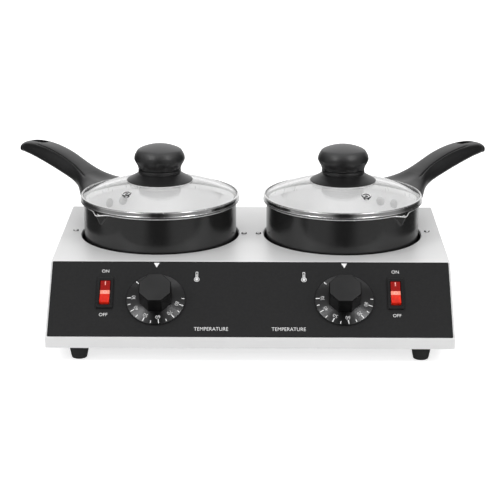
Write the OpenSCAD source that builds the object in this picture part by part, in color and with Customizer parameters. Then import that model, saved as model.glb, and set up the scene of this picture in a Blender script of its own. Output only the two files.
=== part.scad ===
// Twin-pan dry-heat melting warmer: a low sheet-steel housing with two round wells,
// a sloping control panel, two lift-out saucepans and their glass lids.
// Millimetres, +Z up, front towards -Y. The origin is the centre of the footprint, on the floor.

/* [Housing] */
// Width of the sheet-steel housing
housing_w = 400; // [396:1:420]
// Height of the housing from its lower edge to the deck
housing_h = 68.5; // [66:0.5:74]
// Depth of the flat deck behind the control slope
deck_d = 217; // [212:1:230]
// Horizontal run of the control slope
slope_run = 68.5; // [66:0.5:72]
// Height of the upright lip below the control slope
lip_h = 11; // [10:0.5:13]
// Thickness of the sheet steel
sheet_t = 1.2; // [1:0.1:1.4]

/* [Feet] */
// Height of a rubber foot
foot_h = 17.5; // [14:0.5:22]
// Diameter of a foot where it meets the housing
foot_top_d = 22; // [20:0.5:24]
// Diameter of a foot on the floor
foot_floor_d = 15; // [14:0.5:18]
// Distance of a foot's centre from the housing's sides
foot_inset = 31; // [28:1:36]
// Distance of a foot's centre from the housing's front and back
foot_setback = 24; // [20:1:32]

/* [Wells] */
// Distance between the centres of the two wells
well_pitch = 192; // [190:1:196]
// Distance from the deck's front edge to the well centres
well_setback = 106; // [104:1:108]
// Diameter of the opening in the deck
opening_d = 167; // [166:0.5:168]
// Radial step from the deck opening to the inside of the well
well_step = 1; // [0.8:0.1:1.2]
// Height of the well floor above the housing's lower edge
well_floor_h = 25; // [24:0.5:26]

/* [Pans] */
// Outside diameter of a pan
pan_d = 160; // [158:0.5:161]
// Height of a pan from its base to its rim
pan_h = 72.5; // [70:0.5:75]
// Thickness of the pan wall
pan_t = 2.2; // [2:0.1:2.4]
// Direction of the left pan's handle, seen from above
handle_az = 131.5; // [130:0.5:134]
// Distance of the handle's tip from the pan's centre
handle_reach = 251; // [248:1:256]
// How far a pouring lip stands out past the rim
lip_reach = 5.5; // [4:0.5:6]

/* [Lids] */
// Outside diameter of the lid's steel ring
lid_ring_d = 167.2; // [166:0.2:168]
// Height of the lid's steel ring above the pan rim
lid_ring_h = 6.6; // [6:0.1:7]
// Radius of curvature of the glass dome
dome_r = 195; // [190:1:205]
// Thickness of the lid glass
glass_t = 4; // [3.5:0.5:4]
// Diameter of the lid knob
knob_d = 53.6; // [50:0.4:56]
// Diameter of the flared base under the lid knob
knob_base_d = 69.2; // [66:0.4:72]

/* [Controls] */
// Distance of the dials from the housing's middle
dial_x = 93; // [90:1:96]
// Distance of the dials up the slope from the lip
dial_u = 42; // [40:0.5:44]
// Diameter of the numbered skirt
skirt_d = 57.8; // [54:0.2:60]
// Width of the dial's octagonal grip across its flats
grip_w = 31.4; // [29:0.2:33]
// Height of the octagonal grip
grip_h = 20; // [17:0.5:22]
// Distance of the rocker switches from the housing's middle
switch_x = 143.8; // [140:0.2:146]
// Distance of the rocker switches up the slope from the lip
switch_u = 50.2; // [48:0.2:52]
// Full swing of a rocker between ON and OFF
rocker_swing = 12; // [10:1:14]

/* [Hidden] */
$fn = 64;

LEFT = -1;
RIGHT = 1;
eps = 0.01;
fit_gap = 0.15;
run_gap = 0.05;

// Housing frame: x = 0 in the middle, y = 0 at the lip's face, z = 0 at the lower edge
housing_d = slope_run + deck_d;
slope_rise = housing_h - lip_h;
slope_len = sqrt(slope_run * slope_run + slope_rise * slope_rise);
slope_angle = atan2(slope_rise, slope_run);
well_y = slope_run + well_setback;
well_x = well_pitch / 2;
inner_w = housing_w - 2 * sheet_t;
handle_tip_r = 11;
overall_d = well_y + (handle_reach - handle_tip_r) * sin(handle_az) + handle_tip_r;

// Well and heater levels, above the housing's lower edge
well_r = opening_d / 2 - well_step;
well_t = 1;
flange_r = 94;
plate_h = 8;
plate_r = 66;
pan_z = well_floor_h + plate_h;
element_r = 45;
tube_r = 3.25;
stud_r = 3;

// Fixings in the deck, as offsets from a well's centre towards the housing's side, middle and back
deck_screw_spots = [[90.3, 8.3], [-88.4, -1.2], [0, 89.5]];
screw_r = 1.6;
head_r = 3.2;

// Pan and handle
pan_r = pan_d / 2;
base_round = 12;
bead = 1.2;
rivet_spread = 6.8;
rivet_z = 55;
rivet_r = 2.4;
rivet_head_r = 5.2;
lip_side = 92;
lip_lean = 23;
lip_half_angle = 63;
lip_drop = 18;
lip_dip = 22;

// Lid
ring_r = lid_ring_d / 2;
glass_r = ring_r - 1.2;
ring_wall = 0.8;
ring_lap = 2.4;
dome_sag = dome_r - sqrt(dome_r * dome_r - glass_r * glass_r);
glass_edge_z = 1.3;
glass_rim_z = 1;
dome_top = glass_edge_z + glass_t + dome_sag;
vent_r = 53.5;
vent_az_left = 234;
vent_az_right = 294;

// Controls
fascia_t = 0.8;
fascia_margin = 2;
shaft_r = 3;
bush_r = 5.8;
skirt_low = 1.6;
skirt_edge = 1.6;
skirt_rise = 1.6;
grip_base = fascia_t + skirt_low + skirt_edge + skirt_rise;
switch_w = 16.2;
switch_l = 35.8;
switch_cavity_w = 11;
switch_cavity_l = 28.6;
bezel_h = 2.5;
rocker_w = 9.8;
rocker_half = 13.4;
rocker_pivot = -2;

// Colours
steel = [0.84, 0.85, 0.86];
bright = [0.9, 0.9, 0.9];
black = [0.12, 0.12, 0.13];
dark_steel = [0.45, 0.45, 0.47];
coating = [0.17, 0.17, 0.18];
red = [0.85, 0.1, 0.08];
clear = [0.85, 0.9, 0.9, 0.4];
ceramic = [0.93, 0.9, 0.84];

// ---- Placing ----

module in_housing() {
    translate([0, -overall_d / 2, foot_h])
        children();
}

// Local x along the slope's width, y up the slope from the lip, z out of the slope
module on_slope(x, u) {
    in_housing()
        translate([0, 0, lip_h])
            rotate([slope_angle, 0, 0])
                translate([x, u, 0])
                    children();
}

module at_well(side) {
    in_housing()
        translate([side * well_x, well_y, 0])
            children();
}

// The right pan is the left one seen in a mirror
module at_pan(side) {
    at_well(side)
        translate([0, 0, pan_z])
            mirror([side == RIGHT ? 1 : 0, 0, 0])
                children();
}

module along_handle(side) {
    at_pan(side)
        rotate([0, 0, handle_az])
            children();
}

module at_lid(side) {
    at_well(side)
        translate([0, 0, pan_z + pan_h])
            children();
}

module rounded_plate(w, l, h, r) {
    linear_extrude(h)
        rounded_rect(w, l, r);
}

module rounded_rect(w, l, r) {
    union() {
        square([w - 2 * r, l], center = true);
        square([w, l - 2 * r], center = true);
        for (sx = [-1, 1], sy = [-1, 1])
            translate([sx * (w / 2 - r), sy * (l / 2 - r)])
                circle(r);
    }
}

module ring_of(r, count) {
    for (i = [0 : count - 1])
        rotate([0, 0, i * 360 / count])
            translate([r, 0, 0])
                children();
}

// A pan-head screw seen from its head, shank pointing down
module pan_screw(length, r = screw_r, head = head_r) {
    head_h = head * 0.6;
    slot_w = head * 0.32;
    difference() {
        union() {
            rotate_extrude()
                polygon([[0, 0], [head, 0], [head, head_h * 0.35], [head * 0.72, head_h], [0, head_h]]);
            translate([0, 0, -length])
                cylinder(r = r, h = length + eps);
        }
        for (turn = [0, 90])
            rotate([0, 0, turn])
                translate([-head * 0.6, -slot_w / 2, head_h * 0.45])
                    cube([head * 1.2, slot_w, head_h]);
    }
}

// ---- Housing ----

// Side view of the housing, y along the first axis and z along the second
function housing_outline(inset, low) = [
    [inset, low],
    [inset, lip_h - inset * tan(slope_angle / 2)],
    [slope_run + inset * tan(slope_angle / 2), housing_h - inset],
    [housing_d - inset, housing_h - inset],
    [housing_d - inset, low]
];

module housing_prism(inset, width, low = 0) {
    rotate([90, 0, 90])
        translate([0, 0, -width / 2])
            linear_extrude(width)
                polygon(housing_outline(inset, low));
}

flange_w = 12;
flange_z = sheet_t;
louvre_w = 3.2;
louvre_l = 26;
louvre_gap = 9;
louvre_count = 7;
gland_x = -112;
gland_z = 24;
gland_r = 7;

module side_flanges() {
    for (side = [LEFT, RIGHT])
        translate([side == RIGHT ? inner_w / 2 - flange_w : -inner_w / 2, sheet_t, flange_z])
            cube([flange_w, housing_d - 2 * sheet_t, sheet_t]);
}

module rear_louvres() {
    for (side = [LEFT, RIGHT], i = [0 : louvre_count - 1])
        translate([side * 60 + (i - (louvre_count - 1) / 2) * louvre_gap, housing_d, 40])
            rotate([90, 0, 0])
                translate([0, 0, -eps])
                    rounded_plate(louvre_w, louvre_l, sheet_t + 2 * eps + 1, louvre_w / 2 - eps);
}

module slope_cut_outs() {
    for (side = [LEFT, RIGHT]) {
        translate([side * dial_x, dial_u, -5])
            cylinder(r = bush_r + 0.3, h = 10);
        translate([side * switch_x, switch_u, 0])
            cube([switch_w - 2, switch_l - 3, 10], center = true);
    }
}

module housing_shell() {
    color(steel)
        in_housing()
            difference() {
                union() {
                    difference() {
                        housing_prism(0, housing_w);
                        housing_prism(sheet_t, inner_w, -1);
                    }
                    side_flanges();
                }
                for (side = [LEFT, RIGHT])
                    translate([side * well_x, well_y, housing_h - 5]) {
                        cylinder(d = opening_d, h = 10, $fn = 128);
                        for (spot = deck_screw_spots)
                            translate([side * spot[0], spot[1], 0])
                                cylinder(r = screw_r + fit_gap, h = 10, $fn = 24);
                    }
                translate([0, 0, lip_h])
                    rotate([slope_angle, 0, 0])
                        slope_cut_outs();
                rear_louvres();
                translate([gland_x, housing_d + 1, gland_z])
                    rotate([90, 0, 0])
                        cylinder(r = gland_r + fit_gap, h = sheet_t + 2);
                base_screw_spots()
                    translate([0, 0, -eps])
                        cylinder(r = screw_r + fit_gap, h = 5, $fn = 24);
            }
}

// The steel base, flush with the housing's lower edge under the side flanges
plate_gap = 0.3;
slot_l = 34;
slot_w = 4;
slot_rows = 6;
slot_pitch = 13;

module base_screw_spots() {
    for (side = [LEFT, RIGHT], y = [60, housing_d / 2, housing_d - 60])
        translate([side * (inner_w / 2 - flange_w / 2), y, 0])
            children();
}

module foot_spots() {
    for (side = [LEFT, RIGHT], y = [foot_setback, housing_d - foot_setback])
        translate([side * (housing_w / 2 - foot_inset), y, 0])
            children();
}

module bottom_plate() {
    plate_w = inner_w - 2 * plate_gap;
    plate_d = housing_d - 2 * sheet_t - 2 * plate_gap;
    color(dark_steel)
        in_housing()
            difference() {
                translate([-plate_w / 2, sheet_t + plate_gap, 0])
                    cube([plate_w, plate_d, sheet_t]);
                for (side = [LEFT, RIGHT], i = [0 : slot_rows - 1], end = [-1, 1])
                    translate([
                        side * well_x + end * 24,
                        well_y + (i - (slot_rows - 1) / 2) * slot_pitch,
                        -eps
                    ])
                        rounded_plate(slot_l, slot_w, 2 * sheet_t, slot_w / 2 - eps);
                foot_spots()
                    translate([0, 0, -eps])
                        cylinder(r = 2 + fit_gap, h = 2 * sheet_t, $fn = 24);
                base_screw_spots()
                    translate([0, 0, -eps])
                        cylinder(r = screw_r + fit_gap, h = 2 * sheet_t, $fn = 24);
            }
}

module control_fascia() {
    color(black)
        on_slope(0, 0)
            difference() {
                translate([-housing_w / 2 + fascia_margin, 0.6, 0])
                    cube([housing_w - 2 * fascia_margin, slope_len - 1.6, fascia_t]);
                slope_cut_outs();
            }
}

foot_wall_h = 4;
foot_bore_r = 4.2;

module feet() {
    color(black)
        in_housing()
            foot_spots()
                translate([0, 0, -foot_h])
                    difference() {
                        cylinder(d1 = foot_floor_d, d2 = foot_top_d, h = foot_h);
                        translate([0, 0, -eps])
                            cylinder(r = foot_bore_r, h = foot_h - foot_wall_h + 2 * eps);
                        cylinder(r = 2 + fit_gap, h = foot_h + 1, $fn = 24);
                    }
}

module foot_screws() {
    color(bright)
        in_housing()
            foot_spots()
                translate([0, 0, -foot_wall_h])
                    mirror([0, 0, 1])
                        pan_screw(foot_wall_h + 8, 2, 3.8);
}

module deck_screws() {
    color(bright)
        for (side = [LEFT, RIGHT])
            at_well(side)
                for (spot = deck_screw_spots)
                    translate([side * spot[0], spot[1], housing_h])
                        pan_screw(7, screw_r - 0.05, head_r * 0.92);
}

module base_screws() {
    color(bright)
        in_housing()
            base_screw_spots()
                mirror([0, 0, 1])
                    pan_screw(6);
}

// A rubber bush in the rear wall, for the supply cord
gland_bore_r = 4;
gland_flange_r = 10;
gland_flange_t = 3;
gland_neck = 5;

module cord_gland() {
    color(black)
        in_housing()
            translate([gland_x, housing_d + gland_flange_t, gland_z])
                rotate([90, 0, 0])
                    rotate_extrude()
                        polygon([
                            [gland_bore_r, 0], [gland_flange_r - 1, 0], [gland_flange_r, 1],
                            [gland_flange_r, gland_flange_t], [gland_r, gland_flange_t],
                            [gland_r, gland_flange_t + sheet_t], [gland_flange_r - 1, gland_flange_t + sheet_t],
                            [gland_r + 0.5, gland_flange_t + sheet_t + gland_neck],
                            [gland_bore_r, gland_flange_t + sheet_t + gland_neck]
                        ]);
}

// Two-pole-and-earth terminal block on the base, behind the wells
module terminal_block() {
    block_w = 36;
    block_d = 18;
    block_h = 16;
    pitch = 11;
    color(ceramic)
        in_housing()
            translate([0, housing_d - 24, sheet_t])
                difference() {
                    translate([0, 0, block_h / 2])
                        cube([block_w, block_d, block_h], center = true);
                    for (i = [-1, 0, 1]) {
                        translate([i * pitch, 0, block_h / 2])
                            rotate([90, 0, 0])
                                cylinder(r = 2.2, h = block_d + 1, center = true);
                        for (end = [-1, 1])
                            translate([i * pitch, end * 4.5, block_h / 2])
                                cylinder(r = 1.8, h = block_h);
                    }
                }
}

// ---- Heating wells ----

// A spun cup with a flange that is screwed up under the deck
module well(side) {
    top = housing_h - sheet_t;
    round_r = 8;
    color(dark_steel)
        at_well(side)
            difference() {
                rotate_extrude($fn = 128) {
                    difference() {
                        union() {
                            translate([0, well_floor_h - well_t])
                                square([well_r + well_t - round_r, well_t + round_r]);
                            translate([well_r + well_t - round_r, well_floor_h - well_t + round_r])
                                circle(round_r);
                            translate([0, well_floor_h - well_t + round_r])
                                square([well_r + well_t, top - well_floor_h + well_t - round_r]);
                            translate([0, top - well_t])
                                square([flange_r, well_t]);
                        }
                        union() {
                            translate([-1, well_floor_h])
                                square([well_r - round_r + well_t + 1, round_r]);
                            translate([well_r + well_t - round_r, well_floor_h - well_t + round_r])
                                circle(round_r - well_t);
                            translate([-1, well_floor_h - well_t + round_r])
                                square([well_r + 1, top]);
                        }
                        translate([-20, 0])
                            square([20, top]);
                    }
                }
                translate([0, 0, well_floor_h - 3])
                    cylinder(r = stud_r + fit_gap, h = 6, $fn = 32);
                for (spot = deck_screw_spots)
                    translate([side * spot[0], spot[1], housing_h - 5])
                        cylinder(r = screw_r + fit_gap, h = 10, $fn = 24);
            }
}

// Cast aluminium plate that the pan stands on, with its clamping stud
module heat_plate(side) {
    groove = 1;
    color(bright)
        at_well(side)
            union() {
                rotate_extrude($fn = 128)
                    polygon([
                        [0, well_floor_h], [plate_r - 1.5, well_floor_h], [plate_r, well_floor_h + 1.5],
                        [plate_r, pan_z - 1], [plate_r - 1, pan_z], [plate_r * 0.66, pan_z],
                        [plate_r * 0.64, pan_z - groove], [plate_r * 0.36, pan_z - groove],
                        [plate_r * 0.34, pan_z], [0, pan_z]
                    ]);
                translate([0, 0, well_floor_h - 18])
                    cylinder(r = stud_r, h = 18 + eps, $fn = 32);
            }
}

// Tubular ring element pressed up under the well floor, with two ceramic-ended terminals
element_gap = 24;

module element(side) {
    z = well_floor_h - well_t - tube_r;
    color(dark_steel)
        at_well(side)
            translate([0, 0, z])
                union() {
                    rotate([0, 0, 90 + element_gap / 2])
                        rotate_extrude(angle = 360 - element_gap)
                            translate([element_r, 0])
                                circle(tube_r, $fn = 32);
                    for (turn = [-1, 1])
                        rotate([0, 0, 90 + turn * element_gap / 2])
                            translate([element_r, 0, 0]) {
                                sphere(tube_r, $fn = 32);
                                rotate([0, 90, 0]) {
                                    cylinder(r = tube_r, h = 18, $fn = 32);
                                    translate([1.2, 0, 18 - eps])
                                        cylinder(r = tube_r + 1, h = 8, $fn = 32);
                                }
                                translate([26 - eps, -3.15, -1.6])
                                    cube([8, 6.3, 0.8]);
                            }
                }
}

// Cross bar and nut that hold the element against the well floor
module element_clamp(side) {
    bar_top = well_floor_h - well_t - 2 * tube_r;
    bar_t = 2;
    nut_h = 5;
    color(steel)
        at_well(side)
            difference() {
                union() {
                    translate([0, 0, bar_top - bar_t])
                        rounded_plate(2 * element_r + 16, 16, bar_t, 3);
                    translate([0, 0, bar_top - bar_t - nut_h])
                        cylinder(r = 5.8, h = nut_h + eps, $fn = 6);
                }
                translate([0, 0, bar_top - bar_t - nut_h - 1])
                    cylinder(r = stud_r + fit_gap, h = bar_t + nut_h + 3, $fn = 32);
            }
}

// ---- Thermostats ----

thermo_w = 36;
thermo_l = 33;
thermo_h = 22;

module thermostat(side) {
    body_top = -sheet_t - 2;
    color(ceramic)
        on_slope(side * dial_x, dial_u)
            difference() {
                union() {
                    translate([0, 0, body_top - thermo_h])
                        rounded_plate(thermo_w, thermo_l, thermo_h, 3);
                    translate([0, 0, body_top - eps])
                        rounded_plate(thermo_w + 12, 14, 2 - fit_gap, 2);
                    translate([0, 0, body_top - eps])
                        cylinder(r = bush_r, h = 2 + sheet_t + fascia_t + eps);
                    for (end = [-1, 1])
                        translate([end * 9 - 3.15, -0.4, body_top - thermo_h - 8])
                            cube([6.3, 0.8, 8 + eps]);
                }
                translate([0, 0, body_top - 14])
                    cylinder(r = shaft_r + run_gap, h = 30);
            }
}

// Fluid-filled bulb under the well floor and the capillary that leads to the thermostat
bulb_r = 3;
bulb_l = 50;
capillary_r = 1;
bend_swell = 1.25;

module rod_between(a, b, r) {
    step = b - a;
    len_ab = norm(step);
    translate(a)
        rotate([0, acos(step[2] / len_ab), atan2(step[1], step[0])])
            cylinder(r = r, h = len_ab, $fn = 24);
}

module sensor(side) {
    bulb_z = well_floor_h - well_t - bulb_r - 0.2;
    bulb_y = well_y - 24;
    under_z = 13;
    route = [
        [side * (well_x - bulb_l / 2), bulb_y, bulb_z],
        [side * (well_x - bulb_l / 2 - 6), bulb_y - 3, under_z],
        [side * (well_x - 56), slope_run + 10, under_z],
        [side * (dial_x - 10), slope_run - 8, 10]
    ];
    color(bright)
        in_housing()
            union() {
                translate([side * well_x - bulb_l / 2, bulb_y, bulb_z])
                    rotate([0, 90, 0])
                        cylinder(r = bulb_r, h = bulb_l, $fn = 32);
                for (i = [0 : len(route) - 2])
                    rod_between(route[i], route[i + 1], capillary_r);
                for (bend = route)
                    translate(bend)
                        sphere(capillary_r * bend_swell, $fn = 24);
            }
}

// ---- Dials ----

dial_shaft_in = 12;
dial_shaft_out = 13;

module dial_shaft(side) {
    low = -sheet_t - 2 - dial_shaft_in;
    color(bright)
        on_slope(side * dial_x, dial_u)
            difference() {
                translate([0, 0, low])
                    cylinder(r = shaft_r, h = dial_shaft_out + grip_base - low);
                translate([shaft_r - 1.4, -shaft_r, grip_base - 1])
                    cube([2 * shaft_r, 2 * shaft_r, dial_shaft_out + 2]);
            }
}

// The numbered disc: a shallow cone that falls away to a thin edge
module dial_skirt(side) {
    low = fascia_t + skirt_low;
    r = skirt_d / 2;
    cone_r = grip_w / 2 + 2;
    color(black)
        on_slope(side * dial_x, dial_u)
            rotate_extrude($fn = 128)
                polygon([
                    [shaft_r + fit_gap, low + skirt_rise], [r - 3, low], [r, low],
                    [r, low + skirt_edge], [cone_r, grip_base],
                    [shaft_r + fit_gap, grip_base]
                ]);
}

module dial_grip(side) {
    flat_r = grip_w / 2 / cos(22.5);
    chamfer = 1.6;
    color(black)
        on_slope(side * dial_x, dial_u)
            difference() {
                translate([0, 0, grip_base])
                    rotate([0, 0, 22.5]) {
                        cylinder(r = flat_r, h = grip_h - chamfer, $fn = 8);
                        translate([0, 0, grip_h - chamfer - eps])
                            cylinder(r1 = flat_r, r2 = flat_r - chamfer, h = chamfer, $fn = 8);
                    }
                difference() {
                    translate([0, 0, grip_base - 1])
                        cylinder(r = shaft_r + fit_gap, h = dial_shaft_out + 1.5, $fn = 32);
                    translate([shaft_r - 1.2, -shaft_r - 1, grip_base - 2])
                        cube([3, 2 * shaft_r + 2, dial_shaft_out + 4]);
                }
            }
}

// ---- Rocker switches ----

module switch_body(side) {
    low = -18;
    top = fascia_t + bezel_h;
    color(black)
        on_slope(side * switch_x, switch_u)
            difference() {
                union() {
                    translate([0, 0, fascia_t])
                        rounded_plate(switch_w, switch_l, bezel_h - 0.8, 1.2);
                    translate([0, 0, top - 0.8 - eps])
                        rounded_plate(switch_w - 1.2, switch_l - 1.2, 0.8, 1);
                    translate([0, 0, low])
                        rounded_plate(switch_w - 2.4, switch_l - 3.4, fascia_t - low + eps, 1);
                    for (i = [-1, 0, 1])
                        translate([-2.4, i * 9 - 0.4, low - 8])
                            cube([4.8, 0.8, 8 + eps]);
                }
                translate([0, 0, -10])
                    rounded_plate(switch_cavity_w, switch_cavity_l, 20, 0.6);
                translate([0, 0, rocker_pivot])
                    rotate([0, 90, 0])
                        cylinder(r = 1.2 + run_gap, h = switch_w - 2.8, center = true, $fn = 32);
            }
}

// A rocker with a narrow flat between two rising faces, on two trunnions, its upper end pressed in
module rocker(side) {
    end_rise = 6.5;
    flat_half = 2.3;
    flat_rise = end_rise - (rocker_half - flat_half) * tan(9);
    color(red)
        on_slope(side * switch_x, switch_u)
            translate([0, 0, rocker_pivot])
                rotate([-rocker_swing / 2, 0, 0])
                    union() {
                        rotate([90, 0, 90])
                            translate([0, 0, -rocker_w / 2])
                                linear_extrude(rocker_w)
                                    polygon([
                                        [-rocker_half, end_rise], [-rocker_half, 1], [-5, -5],
                                        [5, -5], [rocker_half, 1], [rocker_half, end_rise],
                                        [flat_half, flat_rise], [-flat_half, flat_rise]
                                    ]);
                        rotate([0, 90, 0])
                            cylinder(r = 1.2, h = switch_cavity_w + 1, center = true, $fn = 32);
                    }
}

// ---- Pans ----

// Half section of the pan's outside, or of its inside when inset by the wall
module pan_profile(inset) {
    r = pan_r - inset;
    rounding = base_round - inset;
    union() {
        translate([0, inset])
            square([r - rounding, rounding]);
        intersection() {
            translate([r - rounding, inset + rounding])
                circle(rounding);
            square([r, inset + rounding]);
        }
        translate([0, inset + rounding])
            square([r, pan_h - rounding + (inset > 0 ? 1 : -inset)]);
    }
}

// A pouring lip pressed out of the wall: two flat flanks that lean in below the rim and meet at a blunt nose
module lip_form(inset) {
    nose = 1.3;
    run = 24;
    above = 6;
    translate([pan_r + lip_reach - inset, 0, pan_h])
        rotate([0, lip_lean, 0])
            translate([0, 0, -lip_drop])
                linear_extrude(lip_drop + above)
                    polygon([
                        [0, -nose], [0, nose],
                        [-run, nose + run * tan(lip_half_angle)],
                        [-run, -nose - run * tan(lip_half_angle)]
                    ]);
}

// What is taken off above a pouring lip, so that its edge dips towards the nose
module lip_top() {
    wide = 22;
    translate([pan_r, 0, pan_h])
        rotate([0, lip_dip, 0])
            translate([0, -wide / 2, 0])
                cube([lip_reach + 4, wide, 6]);
}

module pan(side) {
    color(coating)
        at_pan(side)
            difference() {
                union() {
                    rotate_extrude($fn = 128) {
                        pan_profile(0);
                        translate([pan_r, pan_h - bead])
                            circle(bead, $fn = 24);
                    }
                    intersection() {
                        for (turn = [-lip_side, lip_side])
                            rotate([0, 0, handle_az + turn])
                                lip_form(0);
                        cylinder(r = pan_r + lip_reach + 1, h = pan_h, $fn = 128);
                    }
                }
                rotate_extrude($fn = 128)
                    pan_profile(pan_t);
                for (turn = [-lip_side, lip_side])
                    rotate([0, 0, handle_az + turn]) {
                        lip_form(pan_t);
                        lip_top();
                    }
                for (turn = [-rivet_spread, rivet_spread])
                    rotate([0, 0, handle_az + turn])
                        translate([pan_r - 10, 0, rivet_z])
                            rotate([0, 90, 0])
                                cylinder(r = rivet_r + fit_gap, h = 20, $fn = 32);
            }
}

// ---- Handles ----

// Stations along the handle: [distance from the pan's axis, height, width, thickness]
handle_neck = 68;
handle_line = [
    [handle_neck, 64.5, 92, 21],
    [82, 64.5, 84, 24],
    [92, 65, 73, 24.5],
    [105, 66.5, 57, 24],
    [118, 69.5, 42, 22.8],
    [130, 73, 32.5, 22.6],
    [145, 77.5, 27.5, 22.6],
    [170, 83.5, 28, 23.2],
    [195, 87.5, 28.5, 21.3],
    [220, 89.5, 28, 17],
    [handle_reach - handle_tip_r, 88.5, 2 * handle_tip_r, 12.5],
    [handle_reach, 84.5, 4, 6]
];
handle_steps = 40;
handle_sides = 28;

// The wings by the pan are elliptic in section and the grip is squarer
square_wing = 2.1;
square_grip = 2.6;
square_from = 105;
square_to = 150;
function handle_square(r) =
    square_wing + (square_grip - square_wing) * min(max((r - square_from) / (square_to - square_from), 0), 1);

// A hollow for the thumb between the two wings
thumb_r = 104;
thumb_half_l = 26;
thumb_half_w = 15;
thumb_depth = 2.6;
function swell(x, half) = abs(x) < half ? pow(1 - (x / half) * (x / half), 2) : 0;

// Smooth interpolation through the stations (Catmull-Rom on the distance along the handle)
function station_at(r, i = 0) =
    i >= len(handle_line) - 2 || r <= handle_line[i + 1][0] ? i : station_at(r, i + 1);
function slope_of(i, k) =
    i == 0 ? (handle_line[1][k] - handle_line[0][k]) / (handle_line[1][0] - handle_line[0][0])
    : i == len(handle_line) - 1
        ? (handle_line[i][k] - handle_line[i - 1][k]) / (handle_line[i][0] - handle_line[i - 1][0])
        : (handle_line[i + 1][k] - handle_line[i - 1][k]) / (handle_line[i + 1][0] - handle_line[i - 1][0]);
function along(r, k) =
    let (
        i = station_at(r),
        a = handle_line[i],
        b = handle_line[i + 1],
        h = b[0] - a[0],
        t = (r - a[0]) / h
    )
    (2 * t * t * t - 3 * t * t + 1) * a[k] + (t * t * t - 2 * t * t + t) * h * slope_of(i, k)
    + (3 * t * t - 2 * t * t * t) * b[k] + (t * t * t - t * t) * h * slope_of(i + 1, k);

// The width closes to a round end at the tip
function handle_width(r) =
    let (centre = handle_reach - handle_tip_r)
    r <= centre ? along(r, 2)
        : max(2 * sqrt(max(handle_tip_r * handle_tip_r - (r - centre) * (r - centre), 0)), 0.8);

// Stations crowd together towards both ends, where the form turns fastest
function handle_station(i) =
    let (t = i / handle_steps, eased = (1 - cos(180 * t)) / 2)
    handle_neck + (handle_reach - handle_neck) * (0.35 * t + 0.65 * eased);

function squircle(angle, n) = pow(abs(cos(angle)), 2 / n) * sign(cos(angle));
function ring_point(r, angle) =
    let (
        y = handle_width(r) / 2 * squircle(angle, handle_square(r)),
        hollow = thumb_depth * swell(r - thumb_r, thumb_half_l) * swell(y, thumb_half_w) * max(sin(angle), 0)
    )
    [r, y, along(r, 1) + along(r, 3) / 2 * squircle(angle - 90, handle_square(r)) - hollow];

module handle_loft() {
    points = [
        for (i = [0 : handle_steps], j = [0 : handle_sides - 1])
            ring_point(handle_station(i), j * 360 / handle_sides)
    ];
    sides = [
        for (i = [0 : handle_steps - 1], j = [0 : handle_sides - 1])
            let (
                a = i * handle_sides + j,
                b = i * handle_sides + (j + 1) % handle_sides
            )
            [a, a + handle_sides, b + handle_sides, b]
    ];
    ends = [
        [for (j = [0 : handle_sides - 1]) j],
        [for (j = [handle_sides - 1 : -1 : 0]) handle_steps * handle_sides + j]
    ];
    polyhedron(points, concat(sides, ends), convexity = 6);
}

hang_centre = 219;
hang_l = 26;
hang_w = 9;
tang_w = 14;
tang_t = 3;
tang_l = 30;
tang_z = 63;
bracket_t = 1.6;
bracket_gap = 0.3;
handle_screw_r = 2;

module handle(side) {
    color(black)
        along_handle(side)
            difference() {
                handle_loft();
                translate([hang_centre, 0, 40])
                    rounded_plate(hang_l, hang_w, 80, hang_w / 2 - eps);
                translate([0, 0, 20])
                    cylinder(r = pan_r + bracket_gap + bracket_t + 0.4, h = 80, $fn = 128);
                translate([0, 0, pan_h - 1])
                    cylinder(r = ring_r + 0.6, h = 40, $fn = 128);
                for (turn = [-rivet_spread, rivet_spread])
                    rotate([0, 0, turn])
                        translate([pan_r, 0, rivet_z])
                            rotate([0, 90, 0])
                                cylinder(r = rivet_r + 0.4, h = 4, $fn = 32);
                translate([pan_r, -tang_w / 2 - fit_gap, tang_z - tang_t / 2 - fit_gap])
                    cube([tang_l + 1, tang_w + 2 * fit_gap, tang_t + 2 * fit_gap]);
                translate([pan_r + 22, 0, 30])
                    cylinder(r = handle_screw_r + fit_gap, h = tang_z - 30 + 8, $fn = 32);
                translate([pan_r + 22, 0, 30])
                    cylinder(r = 4.2, h = 27, $fn = 32);
            }
}

// Curved steel plate riveted to the pan, with a tang that the handle is screwed to
module handle_bracket(side) {
    inner = pan_r + bracket_gap;
    color(dark_steel)
        along_handle(side)
            difference() {
                union() {
                    intersection() {
                        difference() {
                            translate([0, 0, rivet_z - 9])
                                cylinder(r = inner + bracket_t, h = 20, $fn = 128);
                            cylinder(r = inner, h = 100, $fn = 128);
                        }
                        translate([inner - 10, -17, rivet_z - 9])
                            cube([30, 34, 20]);
                    }
                    translate([inner + bracket_t - 1, -tang_w / 2, tang_z - tang_t / 2])
                        cube([tang_l - 3, tang_w, tang_t]);
                }
                for (turn = [-rivet_spread, rivet_spread])
                    rotate([0, 0, turn])
                        translate([pan_r - 10, 0, rivet_z])
                            rotate([0, 90, 0])
                                cylinder(r = rivet_r + fit_gap, h = 20, $fn = 32);
                translate([pan_r + 22, 0, 30])
                    cylinder(r = handle_screw_r + fit_gap, h = 60, $fn = 32);
            }
}

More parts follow.
